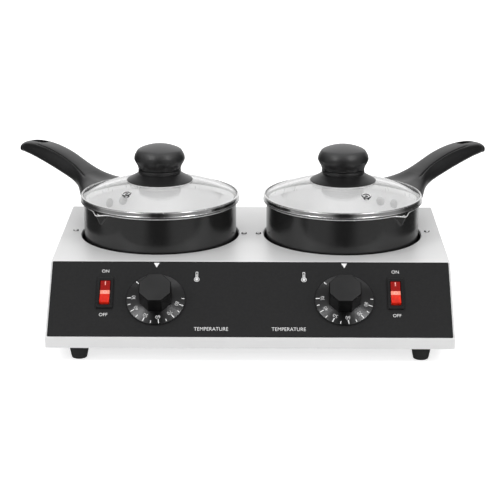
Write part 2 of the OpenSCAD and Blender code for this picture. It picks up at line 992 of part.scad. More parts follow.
// Two dome-headed rivets, headed on the inside of the pan
module rivets(side) {
    head_h = 2.4;
    tail_h = 1.2;
    grip = pan_t + bracket_gap + bracket_t;
    color(bright)
        along_handle(side)
            for (turn = [-rivet_spread, rivet_spread])
                rotate([0, 0, turn])
                    translate([pan_r - pan_t, 0, rivet_z])
                        rotate([0, 90, 0])
                            rotate_extrude($fn = 32)
                                polygon([
                                    [0, -head_h], [rivet_head_r * 0.5, -head_h * 0.85],
                                    [rivet_head_r * 0.85, -head_h * 0.45], [rivet_head_r, -0.25],
                                    [rivet_r, -0.25], [rivet_r, grip + 0.1], [rivet_r, grip + tail_h],
                                    [0, grip + tail_h]
                                ]);
}

module handle_screw(side) {
    color(bright)
        along_handle(side)
            translate([pan_r + 22, 0, 57])
                mirror([0, 0, 1])
                    pan_screw(11, handle_screw_r, 3.8);
}

// ---- Lids ----

module lid_glass(side) {
    centre = dome_top - dome_r;
    color(clear)
        at_lid(side)
            difference() {
                intersection() {
                    translate([0, 0, centre])
                        sphere(dome_r, $fn = 128);
                    translate([0, 0, glass_rim_z])
                        cylinder(r = glass_r, h = 60, $fn = 128);
                }
                translate([0, 0, centre])
                    sphere(dome_r - glass_t, $fn = 128);
                cylinder(r = 3, h = 60, $fn = 32);
                rotate([0, 0, vent_az(side)])
                    translate([vent_r, 0, 0])
                        cylinder(r = 3.2, h = 60, $fn = 32);
            }
}

function vent_az(side) = side == LEFT ? vent_az_left : vent_az_right;

// Rolled steel channel round the glass, with a short skirt that drops inside the pan
module lid_ring(side) {
    top = lid_ring_h;
    inside = ring_r - ring_lap;
    skirt_r = pan_r - pan_t - 0.6;
    color(bright)
        at_lid(side)
            rotate_extrude($fn = 128)
                polygon([
                    [skirt_r - 0.8, -2.5], [skirt_r, -2.5], [skirt_r, 0],
                    [ring_r - 0.6, 0], [ring_r, 0.6], [ring_r, 1.6], [ring_r - 0.5, 2.2],
                    [ring_r - 0.5, top - 1.6], [ring_r - 0.8, top - 0.5], [ring_r - 1.3, top],
                    [inside, top + 0.1], [inside, top - 0.6], [ring_r - ring_wall - 0.3, top - 1.1],
                    [ring_r - ring_wall, ring_wall], [skirt_r - 0.8, ring_wall]
                ]);
}

// Steel eyelet that lets steam out through the glass
module lid_vent(side) {
    dome_z = dome_top - (dome_r - sqrt(dome_r * dome_r - vent_r * vent_r));
    tilt = asin(vent_r / dome_r);
    color(bright)
        at_lid(side)
            rotate([0, 0, vent_az(side)])
                translate([vent_r, 0, dome_z - glass_t / 2])
                    rotate([0, tilt, 0])
                        rotate_extrude($fn = 32)
                            polygon([
                                [1.7, -3.2], [2.4, -3.2], [2.4, 2.15], [5, 2.15], [4.7, 3],
                                [3.6, 3.3], [2.9, 2.6], [1.7, 2.3]
                            ]);
}

// Heights of the knob stack above the pan rim
knob_low = 27.6;
knob_stack = 33;
knob_top = 59.2;

// Flared collar that spreads the knob's load on the glass, with a plain band above the flare
module lid_base(side) {
    r = knob_base_d / 2;
    neck = 22.4;
    foot_z = dome_top - (dome_r - sqrt(dome_r * dome_r - r * r)) + 0.3;
    color(black)
        at_lid(side)
            difference() {
                rotate_extrude($fn = 96)
                    difference() {
                        polygon([
                            [0, foot_z - 3], [r - 0.4, foot_z - 3], [r - 0.4, foot_z], [r, foot_z + 0.5],
                            [r - 0.5, foot_z + 1.1], [r - 3, foot_z + 2.6], [r - 6, foot_z + 4.2],
                            [r - 9, foot_z + 5.9], [neck + 0.9, knob_low + 0.8], [neck - 0.5, knob_low + 1.4],
                            [neck, knob_low + 2.2], [neck, knob_stack - 0.8], [neck - 0.6, knob_stack],
                            [0, knob_stack]
                        ]);
                        translate([0, dome_top - dome_r])
                            circle(dome_r + 0.1, $fn = 256);
                    }
                cylinder(r = 2.1, h = 60, $fn = 32);
            }
}

// The mushroom-shaped grip
module lid_knob(side) {
    r = knob_d / 2;
    neck = 22.4;
    shoulder_z = knob_top - 5.6;
    shoulder_r = r - 4.2;
    crown_r = 48.4;
    crown_z = shoulder_z - sqrt(crown_r * crown_r - shoulder_r * shoulder_r);
    color(black)
        at_lid(side)
            difference() {
                rotate_extrude($fn = 96)
                    union() {
                        polygon([
                            [0, knob_stack], [neck - 1.8, knob_stack], [neck - 1.8, knob_stack + 0.6],
                            [neck - 0.3, knob_stack + 1], [neck + 0.1, knob_stack + 2.4],
                            [neck + 0.6, knob_stack + 4], [neck + 2, knob_stack + 6],
                            [r - 0.8, knob_stack + 8.6], [r - 0.1, knob_stack + 10.6],
                            [r, knob_stack + 12.2], [r - 0.4, knob_stack + 14.2],
                            [r - 1.3, knob_stack + 16.4], [r - 2.6, knob_stack + 18.6],
                            [shoulder_r, shoulder_z], [0, shoulder_z]
                        ]);
                        intersection() {
                            translate([0, crown_z])
                                circle(crown_r, $fn = 256);
                            translate([0, shoulder_z - eps])
                                square([shoulder_r, 20]);
                        }
                    }
                cylinder(r = 2.1, h = knob_stack + 12, $fn = 32);
            }
}

// Screw and washer that draw the knob down from under the glass
module lid_screw(side) {
    seat = dome_top - glass_t - 0.4;
    color(bright)
        at_lid(side)
            union() {
                translate([0, 0, seat - 1.2])
                    cylinder(r = 8, h = 1.2, $fn = 48);
                translate([0, 0, seat - 1.2])
                    mirror([0, 0, 1])
                        pan_screw(1, 2, 4.2);
                translate([0, 0, seat - 1])
                    cylinder(r = 2, h = knob_stack + 11 - seat, $fn = 32);
            }
}

housing_shell();
bottom_plate();
control_fascia();
well(LEFT);  // well_left
well(RIGHT);  // well_right
heat_plate(LEFT);  // heat_plate_left
heat_plate(RIGHT);  // heat_plate_right
element(LEFT);  // element_left
element(RIGHT);  // element_right
element_clamp(LEFT);  // element_clamp_left
element_clamp(RIGHT);  // element_clamp_right
thermostat(LEFT);  // thermostat_left
thermostat(RIGHT);  // thermostat_right
sensor(LEFT);  // sensor_left
sensor(RIGHT);  // sensor_right
switch_body(LEFT);  // switch_body_left
switch_body(RIGHT);  // switch_body_right
terminal_block();
cord_gland();
feet();
foot_screws();
deck_screws();
base_screws();
dial_grip(LEFT);  // dial_grip_left
dial_grip(RIGHT);  // dial_grip_right
dial_skirt(LEFT);  // dial_skirt_left
dial_skirt(RIGHT);  // dial_skirt_right
dial_shaft(LEFT);  // dial_shaft_left
dial_shaft(RIGHT);  // dial_shaft_right
rocker(LEFT);  // rocker_left
rocker(RIGHT);  // rocker_right
pan(LEFT);  // pan_left
pan(RIGHT);  // pan_right
handle_bracket(LEFT);  // handle_bracket_left
handle_bracket(RIGHT);  // handle_bracket_right
rivets(LEFT);  // rivets_left
rivets(RIGHT);  // rivets_right
handle(LEFT);  // handle_left
handle(RIGHT);  // handle_right
handle_screw(LEFT);  // handle_screw_left
handle_screw(RIGHT);  // handle_screw_right
lid_glass(LEFT);  // lid_glass_left
lid_glass(RIGHT);  // lid_glass_right
lid_ring(LEFT);  // lid_ring_left
lid_ring(RIGHT);  // lid_ring_right
lid_vent(LEFT);  // lid_vent_left
lid_vent(RIGHT);  // lid_vent_right
lid_base(LEFT);  // lid_base_left
lid_base(RIGHT);  // lid_base_right
lid_knob(LEFT);  // lid_knob_left
lid_knob(RIGHT);  // lid_knob_right
lid_screw(LEFT);  // lid_screw_left
lid_screw(RIGHT);  // lid_screw_right
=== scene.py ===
"""Looks of the twin-pan melting warmer: steel housing, black controls, two saucepans and their glass lids."""
from math import asin, atan2, copysign, cos, hypot, pi, radians, sin, sqrt, tan, tau

import bmesh
import bpy
from mathutils import Matrix, Vector


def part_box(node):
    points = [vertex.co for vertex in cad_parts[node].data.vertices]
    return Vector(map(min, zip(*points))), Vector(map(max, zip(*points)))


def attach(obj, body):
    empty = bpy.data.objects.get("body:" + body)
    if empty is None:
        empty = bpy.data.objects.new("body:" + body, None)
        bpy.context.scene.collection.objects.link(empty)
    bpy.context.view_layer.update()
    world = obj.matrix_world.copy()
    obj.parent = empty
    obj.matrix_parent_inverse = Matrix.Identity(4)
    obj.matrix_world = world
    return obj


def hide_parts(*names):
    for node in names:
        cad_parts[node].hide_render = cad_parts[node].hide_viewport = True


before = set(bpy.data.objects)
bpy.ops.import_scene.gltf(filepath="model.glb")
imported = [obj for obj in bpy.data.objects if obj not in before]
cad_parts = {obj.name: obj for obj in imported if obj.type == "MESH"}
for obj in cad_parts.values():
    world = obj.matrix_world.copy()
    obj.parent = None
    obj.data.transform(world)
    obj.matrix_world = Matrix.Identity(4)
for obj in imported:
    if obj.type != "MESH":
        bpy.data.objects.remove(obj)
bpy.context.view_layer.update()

MM = 0.001
SIDES = {"left": -1, "right": 1}
AROUND = 128


# ---- Sizes, in millimetres unless said otherwise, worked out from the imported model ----

house_low, house_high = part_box("housing_shell")
pan_low, pan_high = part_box("pan_right")
well_low, well_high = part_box("well_right")
well_middle = (well_low + well_high) / 2
ring_low, ring_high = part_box("lid_ring_right")

HOUSING_W = (house_high.x - house_low.x) / MM
HOUSING_D = (house_high.y - house_low.y) / MM
HOUSING_H = (house_high.z - house_low.z) / MM
FOOT_H = house_low.z / MM
FRONT_Y = house_low.y / MM
LIP_H = 11.0
SLOPE_RUN = 68.5
SLOPE_RISE = HOUSING_H - LIP_H
SLOPE_LEN = hypot(SLOPE_RUN, SLOPE_RISE)
SLOPE_ANGLE = atan2(SLOPE_RISE, SLOPE_RUN)
SHEET = 1.2

WELL_X = well_middle.x / MM
WELL_Y = well_middle.y / MM - FRONT_Y
OPENING_R = 83.5
PAN_R = 80.0
PAN_T = 2.2
PAN_Z = pan_low.z / MM - FOOT_H
PAN_H = (pan_high.z - pan_low.z) / MM
HANDLE_AZ = radians(131.5)
RING_R = (ring_high.x - ring_low.x) / MM / 2
RIM_Z = PAN_Z + PAN_H

DIAL_X = 93.0
DIAL_U = 42.0
SWITCH_X = 143.8
SWITCH_U = 50.2
FASCIA_T = 0.8

# ---- Places: each maps a piece's own millimetres to the row frame in metres ----

def shift(x, y, z):
    return Matrix.Translation((x, y, z))


def rotation(angle, axis):
    return Matrix.Rotation(angle, 4, axis)


SCALE = Matrix.Scale(MM, 4)
HOUSING = SCALE @ shift(0, FRONT_Y, FOOT_H)
SLOPE = HOUSING @ shift(0, 0, LIP_H) @ rotation(SLOPE_ANGLE, "X")


def on_slope(x, u, lift=FASCIA_T):
    return SLOPE @ shift(x, u, lift)


def at_well(side, z=0.0):
    return HOUSING @ shift(SIDES[side] * WELL_X, WELL_Y, z)


def at_pan(side):
    """The right pan is the left one seen in a mirror."""
    flip = Matrix.Scale(-1, 4, (1, 0, 0)) if side == "right" else Matrix.Identity(4)
    return at_well(side, PAN_Z) @ flip


def along_handle(side):
    return at_pan(side) @ rotation(HANDLE_AZ, "Z")


# ---- Making meshes ----

def in_scene(name, data):
    made = bpy.data.objects.new(name, data)
    bpy.context.scene.collection.objects.link(made)
    return made


def mesh_of(bm, name):
    """Turns a working mesh into a finished one, and ends the working one."""
    mesh = bpy.data.meshes.new(name)
    bm.to_mesh(mesh)
    bm.free()
    return mesh


def placed(bm, place):
    bm.transform(place)
    return bm


def paint(bm, finish_at):
    """Gives every face the finish, by number, that finish_at says for the face's middle."""
    for face in bm.faces:
        face.material_index = int(finish_at(face.calc_center_median()))


def round_edges(bm, edges, offset, steps):
    bmesh.ops.bevel(bm, geom=edges, offset=offset, offset_type="OFFSET", segments=steps, profile=0.5,
                    affect="EDGES", clamp_overlap=True, material=-1)


def drawn_out(outline, way):
    """A solid made by moving a flat outline of points along a straight line."""
    bm = bmesh.new()
    face = bm.faces.new([bm.verts.new(point) for point in outline])
    draw_out(bm, [face], way)
    return bm


def draw_out(bm, faces, way):
    raised = bmesh.ops.extrude_face_region(bm, geom=faces)
    verts = [v for v in raised["geom"] if isinstance(v, bmesh.types.BMVert)]
    bmesh.ops.translate(bm, vec=way, verts=verts)


def face_outwards(bm):
    """Makes the normals agree, then turns every separate skin of a mesh right side out."""
    bmesh.ops.recalc_face_normals(bm, faces=bm.faces)
    waiting = set(bm.faces)
    while waiting:
        skin = [waiting.pop()]
        for face in skin:
            for edge in face.edges:
                for other in edge.link_faces:
                    if other in waiting:
                        waiting.remove(other)
                        skin.append(other)
        corner = skin[0].verts[0].co.copy()
        if sum((f.calc_center_median() - corner).dot(f.normal) * f.calc_area() for f in skin) < 0:
            bmesh.ops.reverse_faces(bm, faces=skin)


def finish_mesh(bm, name, place, finishes, body, smooth=40.0):
    """Puts a mesh in its place, with its finishes and its body."""
    bmesh.ops.remove_doubles(bm, verts=bm.verts, dist=1e-4)
    bm.transform(place)
    face_outwards(bm)
    mesh = mesh_of(bm, name)
    mesh.polygons.foreach_set("use_smooth", [True] * len(mesh.polygons))
    mesh.set_sharp_from_angle(angle=radians(smooth))
    piece = in_scene(name, mesh)
    finishes = finishes if isinstance(finishes, list) else [finishes]
    for material in finishes:
        mesh.materials.append(material)
    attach(piece, body)
    return piece


def modify(piece, kind, **settings):
    """Replaces a piece's mesh by what one modifier makes of it."""
    modifier = piece.modifiers.new("change", kind)
    for name, value in settings.items():
        setattr(modifier, name, value)
    bpy.context.view_layer.update()
    made = bpy.data.meshes.new_from_object(piece.evaluated_get(bpy.context.evaluated_depsgraph_get()))
    piece.modifiers.clear()
    old = piece.data
    piece.data = made
    bpy.data.meshes.remove(old)


def even_faces(piece, angle=30.0):
    """Lets flat faces shade flat, with the change of light kept to the rounded edges between them."""
    piece.data.set_sharp_from_angle(angle=radians(angle))
    modify(piece, "WEIGHTED_NORMAL", keep_sharp=True)


def turned(corners, closed=True, around=AROUND, steps=5):
    """A solid of revolution about Z from its half section, a list of (radius, height, corner rounding)."""
    bm = bmesh.new()
    verts = [bm.verts.new((x, 0, z)) for x, z, _ in corners]
    for a, b in zip(verts, verts[1:] + verts[:1] if closed else verts[1:]):
        bm.edges.new((a, b))
    for vert, (_, _, radius) in zip(verts, corners):
        if radius > 0:
            bmesh.ops.bevel(bm, geom=[vert], offset=radius, offset_type="OFFSET", segments=steps,
                            profile=0.5, affect="VERTICES", material=-1)
    bmesh.ops.spin(bm, geom=bm.verts[:] + bm.edges[:], axis=(0, 0, 1), cent=(0, 0, 0), dvec=(0, 0, 0),
                   angle=tau, steps=around, use_merge=True, use_duplicate=False)
    bmesh.ops.remove_doubles(bm, verts=bm.verts, dist=1e-4)
    bmesh.ops.dissolve_degenerate(bm, edges=bm.edges, dist=1e-5)
    return bm


def box_mesh(low, high, rounding):
    """A block between two corners, its edges rounded."""
    bm = bmesh.new()
    bmesh.ops.create_cube(bm, size=1.0)
    bmesh.ops.scale(bm, vec=Vector(high) - Vector(low), verts=bm.verts)
    bmesh.ops.translate(bm, vec=(Vector(high) + Vector(low)) / 2, verts=bm.verts)
    round_edges(bm, bm.edges[:], rounding, 1)
    return bm


def plate_mesh(outline, low, high, bevel=0.0, steps=2):
    """A flat plate over an outline of (x, y) points, its rims rounded."""
    bm = drawn_out([(x, y, low) for x, y in outline], (0, 0, high - low))
    if bevel > 0:
        round_edges(bm, [e for e in bm.edges if abs(e.verts[0].co.z - e.verts[1].co.z) < 1e-6], bevel, steps)
    return bm


def rounded_outline(width, length, radius, steps=6):
    """Corner points of a rectangle with round corners, about its middle."""
    points = []
    for corner in range(4):
        sx, sy = ((1, 1), (-1, 1), (-1, -1), (1, -1))[corner]
        for step in range(steps + 1):
            angle = radians(90) * (corner + step / steps)
            points.append((sx * (width / 2 - radius) + radius * cos(angle),
                           sy * (length / 2 - radius) + radius * sin(angle)))
    return points


def add_to(bm, other, place=Matrix.Identity(4)):
    """Joins another mesh into bm, moved by place."""
    kept = mesh_of(placed(other, place), "joined")
    bm.from_mesh(kept)
    bpy.data.meshes.remove(kept)
    return bm


# Thickness of a print, and the height of a capital letter as a share of the type's size
PRINT_T, CAPITAL = 0.06, 0.7


def lettering(text, height, narrow=0.95, thin=0.006):
    """Text as a thin mesh, centred, its foot towards -Y, its letters narrowed and their strokes thinned."""
    curve = bpy.data.curves.new("lettering", "FONT")
    curve.body = text
    curve.size = height / CAPITAL
    curve.align_x = "CENTER"
    curve.align_y = "CENTER"
    curve.extrude = PRINT_T / 2
    curve.resolution_u = 4
    curve.offset = -thin * curve.size
    holder = in_scene("lettering", curve)
    bpy.context.view_layer.update()
    made = bpy.data.meshes.new_from_object(holder.evaluated_get(bpy.context.evaluated_depsgraph_get()))
    bm = bmesh.new()
    bm.from_mesh(made)
    bpy.data.meshes.remove(made)
    bpy.data.objects.remove(holder)
    bpy.data.curves.remove(curve)
    bmesh.ops.translate(bm, vec=(0, 0, PRINT_T / 2), verts=bm.verts)
    bmesh.ops.scale(bm, vec=(narrow, 1, 1), verts=bm.verts)
    return bm


def cut(piece, cutters):
    """Cuts a piece by a list of closed meshes, given in the row frame in metres."""
    for cutter in cutters:
        face_outwards(cutter)
        mesh = mesh_of(cutter, "cutter")
        tool = in_scene("cutter", mesh)
        modify(piece, "BOOLEAN", operation="DIFFERENCE", solver="EXACT", object=tool)
        bpy.data.objects.remove(tool)
        bpy.data.meshes.remove(mesh)


def rod(radius, low, high, around=64):
    bm = bmesh.new()
    bmesh.ops.create_cone(bm, cap_ends=True, segments=around, radius1=radius, radius2=radius,
                          depth=high - low, matrix=shift(0, 0, (low + high) / 2))
    return bm


# ---- Finishes ----

def node(tree, kind, inputs=(), **settings):
    """A new node; each of its inputs is given a value, or a socket to link to."""
    made = tree.nodes.new("ShaderNode" + kind)
    for name, value in settings.items():
        setattr(made, name, value)
    for socket, value in dict(inputs).items():
        if isinstance(value, bpy.types.NodeSocket):
            tree.links.new(value, made.inputs[socket])
        else:
            made.inputs[socket].default_value = value
    return made


def plain_finish(name, colour, metallic=0.0, roughness=0.5, specular=0.5, **sockets):
    material = bpy.data.materials.new(name)
    material.use_nodes = True
    tree = material.node_tree
    shader = tree.nodes["Principled BSDF"]
    sockets.update(Base_Color=(*colour, 1), Metallic=metallic, Roughness=roughness,
                   Specular_IOR_Level=specular)
    for socket, value in sockets.items():
        shader.inputs[socket.replace("_", " ")].default_value = value
    return material, tree, shader


def own_place(tree):
    """The piece's own coordinates, in metres."""
    return node(tree, "TexCoord").outputs["Object"]


def own_height(tree, low, high, **settings):
    """0 below the first height and 1 above the second, both in the row frame in metres."""
    split = node(tree, "SeparateXYZ", {"Vector": own_place(tree)})
    span = {"Value": split.outputs["Z"], "From Min": low, "From Max": high}
    return node(tree, "MapRange", span, **settings).outputs["Result"]


def pattern(tree, scale, stretch=(1, 1, 1), detail=4.0):
    """A noise on the piece's own coordinates, in features per metre, drawn out along the small stretches."""
    mapping = node(tree, "Mapping", {"Vector": own_place(tree), "Scale": stretch})
    noise = {"Vector": mapping.outputs["Vector"], "Scale": scale, "Detail": detail}
    return node(tree, "TexNoise", noise).outputs["Fac"]


def mixed(tree, factor, first, second):
    return node(tree, "Mix", {"Factor": factor, 6: first, 7: second}, data_type="RGBA").outputs[2]


def spread_roughness(tree, shader, source, low, high):
    span = {"Value": source, "From Min": 0.3, "From Max": 0.7, "To Min": low, "To Max": high}
    tree.links.new(node(tree, "MapRange", span).outputs["Result"], shader.inputs["Roughness"])


def spread_colour(tree, shader, source, dark, light):
    """Colours the shader from dark to light along a source, and returns that colour."""
    ramp = node(tree, "ValToRGB", {"Fac": source})
    for stop, where, colour in zip(ramp.color_ramp.elements, (0.3, 0.7), (dark, light)):
        stop.position, stop.color = where, (*colour, 1)
    tree.links.new(ramp.outputs["Color"], shader.inputs["Base Color"])
    return ramp.outputs["Color"]


def tint_colour(tree, shader, source, colour, tint):
    dark, light = (tuple(min(c * factor, 1.0) for c in colour) for factor in (1 - tint, 1 + tint))
    spread_colour(tree, shader, source, dark, light)


def raise_grain(tree, shader, source, strength, depth):
    bump = node(tree, "Bump", {"Strength": strength, "Distance": depth, "Height": source})
    tree.links.new(bump.outputs["Normal"], shader.inputs["Normal"])


def brushed(name, colour, roughness, stretch=(4, 220, 220), tint=0.05, grain=0.06, metallic=1.0):
    """Rolled or brushed metal, its fine lines running along the axis with the small stretch."""
    material, tree, shader = plain_finish(name, colour, metallic, roughness)
    lines = pattern(tree, 6.0, stretch, 6.0)
    clouds = pattern(tree, 14.0, detail=3.0)
    spread_roughness(tree, shader, lines, roughness - 0.05, roughness + 0.07)
    tint_colour(tree, shader, clouds, colour, tint)
    raise_grain(tree, shader, lines, grain, 0.0001)
    return material


def moulded(name, colour, roughness, scale=900.0, grain=0.15, tint=0.2, **sockets):
    """Moulded plastic or rubber: an even colour with a fine spark-eroded texture."""
    material, tree, shader = plain_finish(name, colour, roughness=roughness, **sockets)
    pores = pattern(tree, scale, detail=2.0)
    clouds = pattern(tree, 18.0, detail=3.0)
    spread_roughness(tree, shader, clouds, roughness - 0.05, roughness + 0.06)
    tint_colour(tree, shader, clouds, colour, tint)
    raise_grain(tree, shader, pores, grain, 0.00006)
    return material


def coated(name, colour, roughness, fleck=0.12, grain=0.08, metallic=0.0, **sockets):
    """A sprayed coating with a faint orange peel."""
    material, tree, shader = plain_finish(name, colour, metallic, roughness, **sockets)
    peel = pattern(tree, 420.0, detail=2.0)
    clouds = pattern(tree, 22.0)
    spread_roughness(tree, shader, clouds, roughness - 0.04, roughness + 0.05)
    tint_colour(tree, shader, peel, colour, fleck)
    raise_grain(tree, shader, peel, grain, 0.00005)
    return material


def either(tree, first, second):
    """1 where one of two ray sockets is 1."""
    return node(tree, "Math", {0: first, 1: second}, operation="MAXIMUM").outputs[0]


def clear_glass(name):
    """Toughened glass that lets light fall through it into the pan."""
    material, tree, shader = plain_finish(name, (0.995, 0.995, 0.995), roughness=0.01,
                                          Transmission_Weight=1.0, IOR=1.45)
    spread_roughness(tree, shader, pattern(tree, 30.0, (1, 1, 0.2), 5.0), 0.0, 0.03)
    rays = node(tree, "LightPath").outputs
    pane = node(tree, "BsdfTransparent", {"Color": (0.985, 0.985, 0.985, 1)})
    mix = node(tree, "MixShader", {"Fac": either(tree, rays["Is Shadow Ray"], rays["Is Diffuse Ray"]),
                                   1: shader.outputs["BSDF"], 2: pane.outputs["BSDF"]})
    tree.links.new(mix.outputs["Shader"], tree.nodes["Material Output"].inputs["Surface"])
    return material


def grey(level):
    return (level, level, level)


# After its colour and roughness, brushed is given stretch, tint and grain, coated is given fleck and grain,
# and moulded is given scale and grain
ROLLED, TURNED = (60, 60, 4), (80, 80, 20)
SATIN_STEEL = brushed("satin_steel", grey(0.86), 0.4, stretch=(6, 300, 300), tint=0.015, grain=0.02,
                      metallic=0.3)
EDGE_STEEL = brushed("ring_steel", grey(0.8), 0.22, ROLLED, 0.03, 0.01)
# Painted reflection: a darker copy of the ring's steel for its flat wall.
RING_WALL_PAINTED_DARKER = brushed("ring_wall", grey(0.46), 0.16, ROLLED, 0.03, 0.01)
# Painted shade: a dark copy of the ring's steel for its underside and the lower part of its foot bead.
RING_PAINTED_SHADE = brushed("ring_underside_painted_shade", grey(0.1), 0.3, ROLLED, 0.03, 0.01)
DULL_STEEL = brushed("grey_steel", (0.42, 0.42, 0.43), 0.4)
WELL_STEEL = brushed("well_steel", (0.26, 0.26, 0.27), 0.38, stretch=(20, 20, 200))
CAST_ALUMINIUM = coated("cast_aluminium", (0.70, 0.71, 0.72), 0.42, metallic=1.0, grain=0.4)
ELEMENT_SHEATH = brushed("element_sheath", (0.22, 0.21, 0.20), 0.5)
CERAMIC = coated("ceramic_body", (0.80, 0.77, 0.70), 0.6)
COPPER = brushed("capillary_copper", (0.76, 0.42, 0.27), 0.3)
BRIGHT_STEEL = brushed("bright_steel", (0.78, 0.78, 0.79), 0.18, TURNED, 0.04)
# Painted shade: a dark copy of the steel for the steep faces, sides and recesses of screw heads and eyelets.
STEEL_PAINTED_SHADE = brushed("steel_in_painted_shade", grey(0.1), 0.2, TURNED, 0.04)
SCREW_STEEL = brushed("screw_steel", grey(0.95), 0.3, TURNED, 0.04, metallic=0.5)
# The rivet heads carry the lining's pale coat, painted greyer here as shade.
RIVET_COAT_PAINTED_GREYER = coated("rivet_coat_painted_greyer", grey(0.6), 0.35, 0.04, 0.03)
RUBBER = moulded("black_rubber", grey(0.018), 0.62, scale=500.0, grain=0.3)
FASCIA_BLACK = coated("fascia_black", (0.023, 0.023, 0.0235), 0.5, 0.06, 0.03, specular=0.05)
PRINT_WHITE = coated("print_white", grey(0.8), 0.55, 0.03, 0.02)
DIAL_BLACK = moulded("dial_black", (0.005, 0.005, 0.0052), 0.45, specular=0.15)
# Painted light: a lighter copy of the dial black for the grip's top face, which faces the light.
DIAL_TOP_PAINTED_LIGHTER = moulded("dial_top_painted_lighter", (0.030, 0.030, 0.0305), 0.5, specular=0.25)
SWITCH_BLACK = moulded("switch_black", (0.014, 0.014, 0.0145), 0.36, specular=0.3)
PAN_BLACK = coated("pan_coating", grey(0.011), 0.19, 0.08, 0.008, specular=0.6)
# Painted shade: a duller copy of the pan coat for the lips' outer flanks, so that they show little
# reflection.
LIP_COAT_DULLED_AS_SHADE = coated("pan_coating_lip_dulled_as_shade", grey(0.028), 0.5, 0.08, 0.008, specular=0.1)
PAN_LINING = coated("pan_lining", grey(0.93), 0.4, 0.02, 0.03)
PAN_EDGE = brushed("pan_edge", grey(0.92), 0.25, ROLLED, 0.03, 0.02, metallic=0.3)
HANDLE_BLACK = moulded("handle_black", (0.009, 0.009, 0.0093), 0.36, 1100.0, 0.08, specular=0.6)
# The grip's top pad between the seams, in a satin finish and painted lighter as light falling from above.
HANDLE_PAD_PAINTED_LIGHTER = moulded("handle_pad_painted_lighter", (0.030, 0.030, 0.0305), 0.42, 1100.0, 0.08, specular=0.6)
LID_GLASS = clear_glass("lid_glass")
CLEAR_SEAL = coated("clear_seal", grey(0.72), 0.3, 0.03, 0.02)


def spun_black(side):
    """Black anodised metal turned on a lathe: its fine circles spread the light into rays from the axis."""
    material, tree, shader = plain_finish(f"skirt_black_{side}", (0.15, 0.15, 0.152), 1.0, 0.34,
                                          Anisotropic=0.9)
    axis = on_slope(SIDES[side] * DIAL_X, DIAL_U).translation
    outwards = node(tree, "VectorMath", {0: own_place(tree), 1: axis}, operation="SUBTRACT")
    spokes = node(tree, "VectorTransform", {"Vector": outwards.outputs["Vector"]}, vector_type="VECTOR",
                  convert_from="OBJECT", convert_to="WORLD")
    tree.links.new(spokes.outputs["Vector"], shader.inputs["Tangent"])
    raise_grain(tree, shader, pattern(tree, 1400.0, detail=2.0), 0.05, 0.00003)
    return material


def red_with_painted_shade():
    """Tinted see-through plastic: red and glossy, its upper half painted darker as shade."""
    material, tree, shader = plain_finish("rocker_red", (0.5, 0.01, 0.006), roughness=0.2, specular=0.35)
    level, half_blend = on_slope(SWITCH_X, SWITCH_U, 3).translation.z, 0.002
    upper = own_height(tree, level - half_blend, level + half_blend)
    depth = pattern(tree, 160.0, (1, 0.4, 1), 3.0)
    # The red's own depth, varying at random.
    glow = spread_colour(tree, shader, depth, (0.52, 0.012, 0.006), (0.80, 0.030, 0.012))
    # Painted shade: above the pivot's height the red turns dark.
    tree.links.new(mixed(tree, upper, glow, (0.28, 0.008, 0.006, 1)), shader.inputs["Base Color"])
    return material


def crown_black():
    """The handles' plastic, with a highlight painted on as a paler colour towards the crown of the knob."""
    black, pale, low, high = (0.009, 0.009, 0.0093), (0.075, 0.075, 0.076), 46.0, 58.0
    material, tree, shader = plain_finish("knob_black", black, roughness=0.4, specular=0.6)
    low, high = (at_well("left", RIM_Z + z).translation.z for z in (low, high))
    # Painted highlight: the black turns paler between the low and the high height.
    painted_crown_highlight = own_height(tree, low, high, interpolation_type="SMOOTHSTEP")
    tree.links.new(mixed(tree, painted_crown_highlight, (*black, 1), (*pale, 1)), shader.inputs["Base Color"])
    raise_grain(tree, shader, pattern(tree, 1100.0, detail=2.0), 0.08, 0.00006)
    return material


KNOB_BLACK = crown_black()
SKIRT_BLACK = {side: spun_black(side) for side in SIDES}
ROCKER_RED = red_with_painted_shade()
ROCKER_PRINT = coated("rocker_print", (0.95, 0.45, 0.40), 0.4, 0.03, 0.02)
# Painted highlight: a pale pink finish for the rocker's flat middle, where its fold catches the light.
ROCKER_PAINTED_HIGHLIGHT = coated("rocker_painted_highlight", (0.95, 0.28, 0.20), 0.3, 0.05, 0.02)


# ---- Camera ----

LENS_PIXELS = 1809.4
PICTURE_PIXELS = 500.0
SENSOR = 36.0
EYE = (12.9, -1670.1, 580.7)
EYE_PITCH, EYE_YAW, EYE_ROLL = 0.2802, 0.0077, 0.0013


def make_camera():
    """A long lens; the eye is given from the middle of the housing's lower front edge."""
    data = bpy.data.cameras.new("camera")
    data.lens = LENS_PIXELS / PICTURE_PIXELS * SENSOR
    data.sensor_width = SENSOR
    data.clip_end = 50.0
    camera = in_scene("camera", data)
    turn = rotation(EYE_YAW, "Z") @ rotation(pi / 2 - EYE_PITCH, "X") @ rotation(EYE_ROLL, "Z")
    camera.matrix_world = Matrix.Translation(HOUSING @ Vector(EYE)) @ turn
    bpy.context.scene.camera = camera


# ---- Housing ----

BEND = 1.5
EDGE_BREAK = 0.35
FASCIA_MARGIN = 2.0
SHAFT_HOLE_R = 6.1
SWITCH_HOLE = (14.2, 32.8)
LOUVRE = (3.2, 26.0)
LOUVRES, LOUVRE_PITCH, LOUVRE_X, LOUVRE_Z = 7, 9.0, 60.0, 40.0
GLAND_X, GLAND_Z, GLAND_R = -112.0, 24.0, 7.0


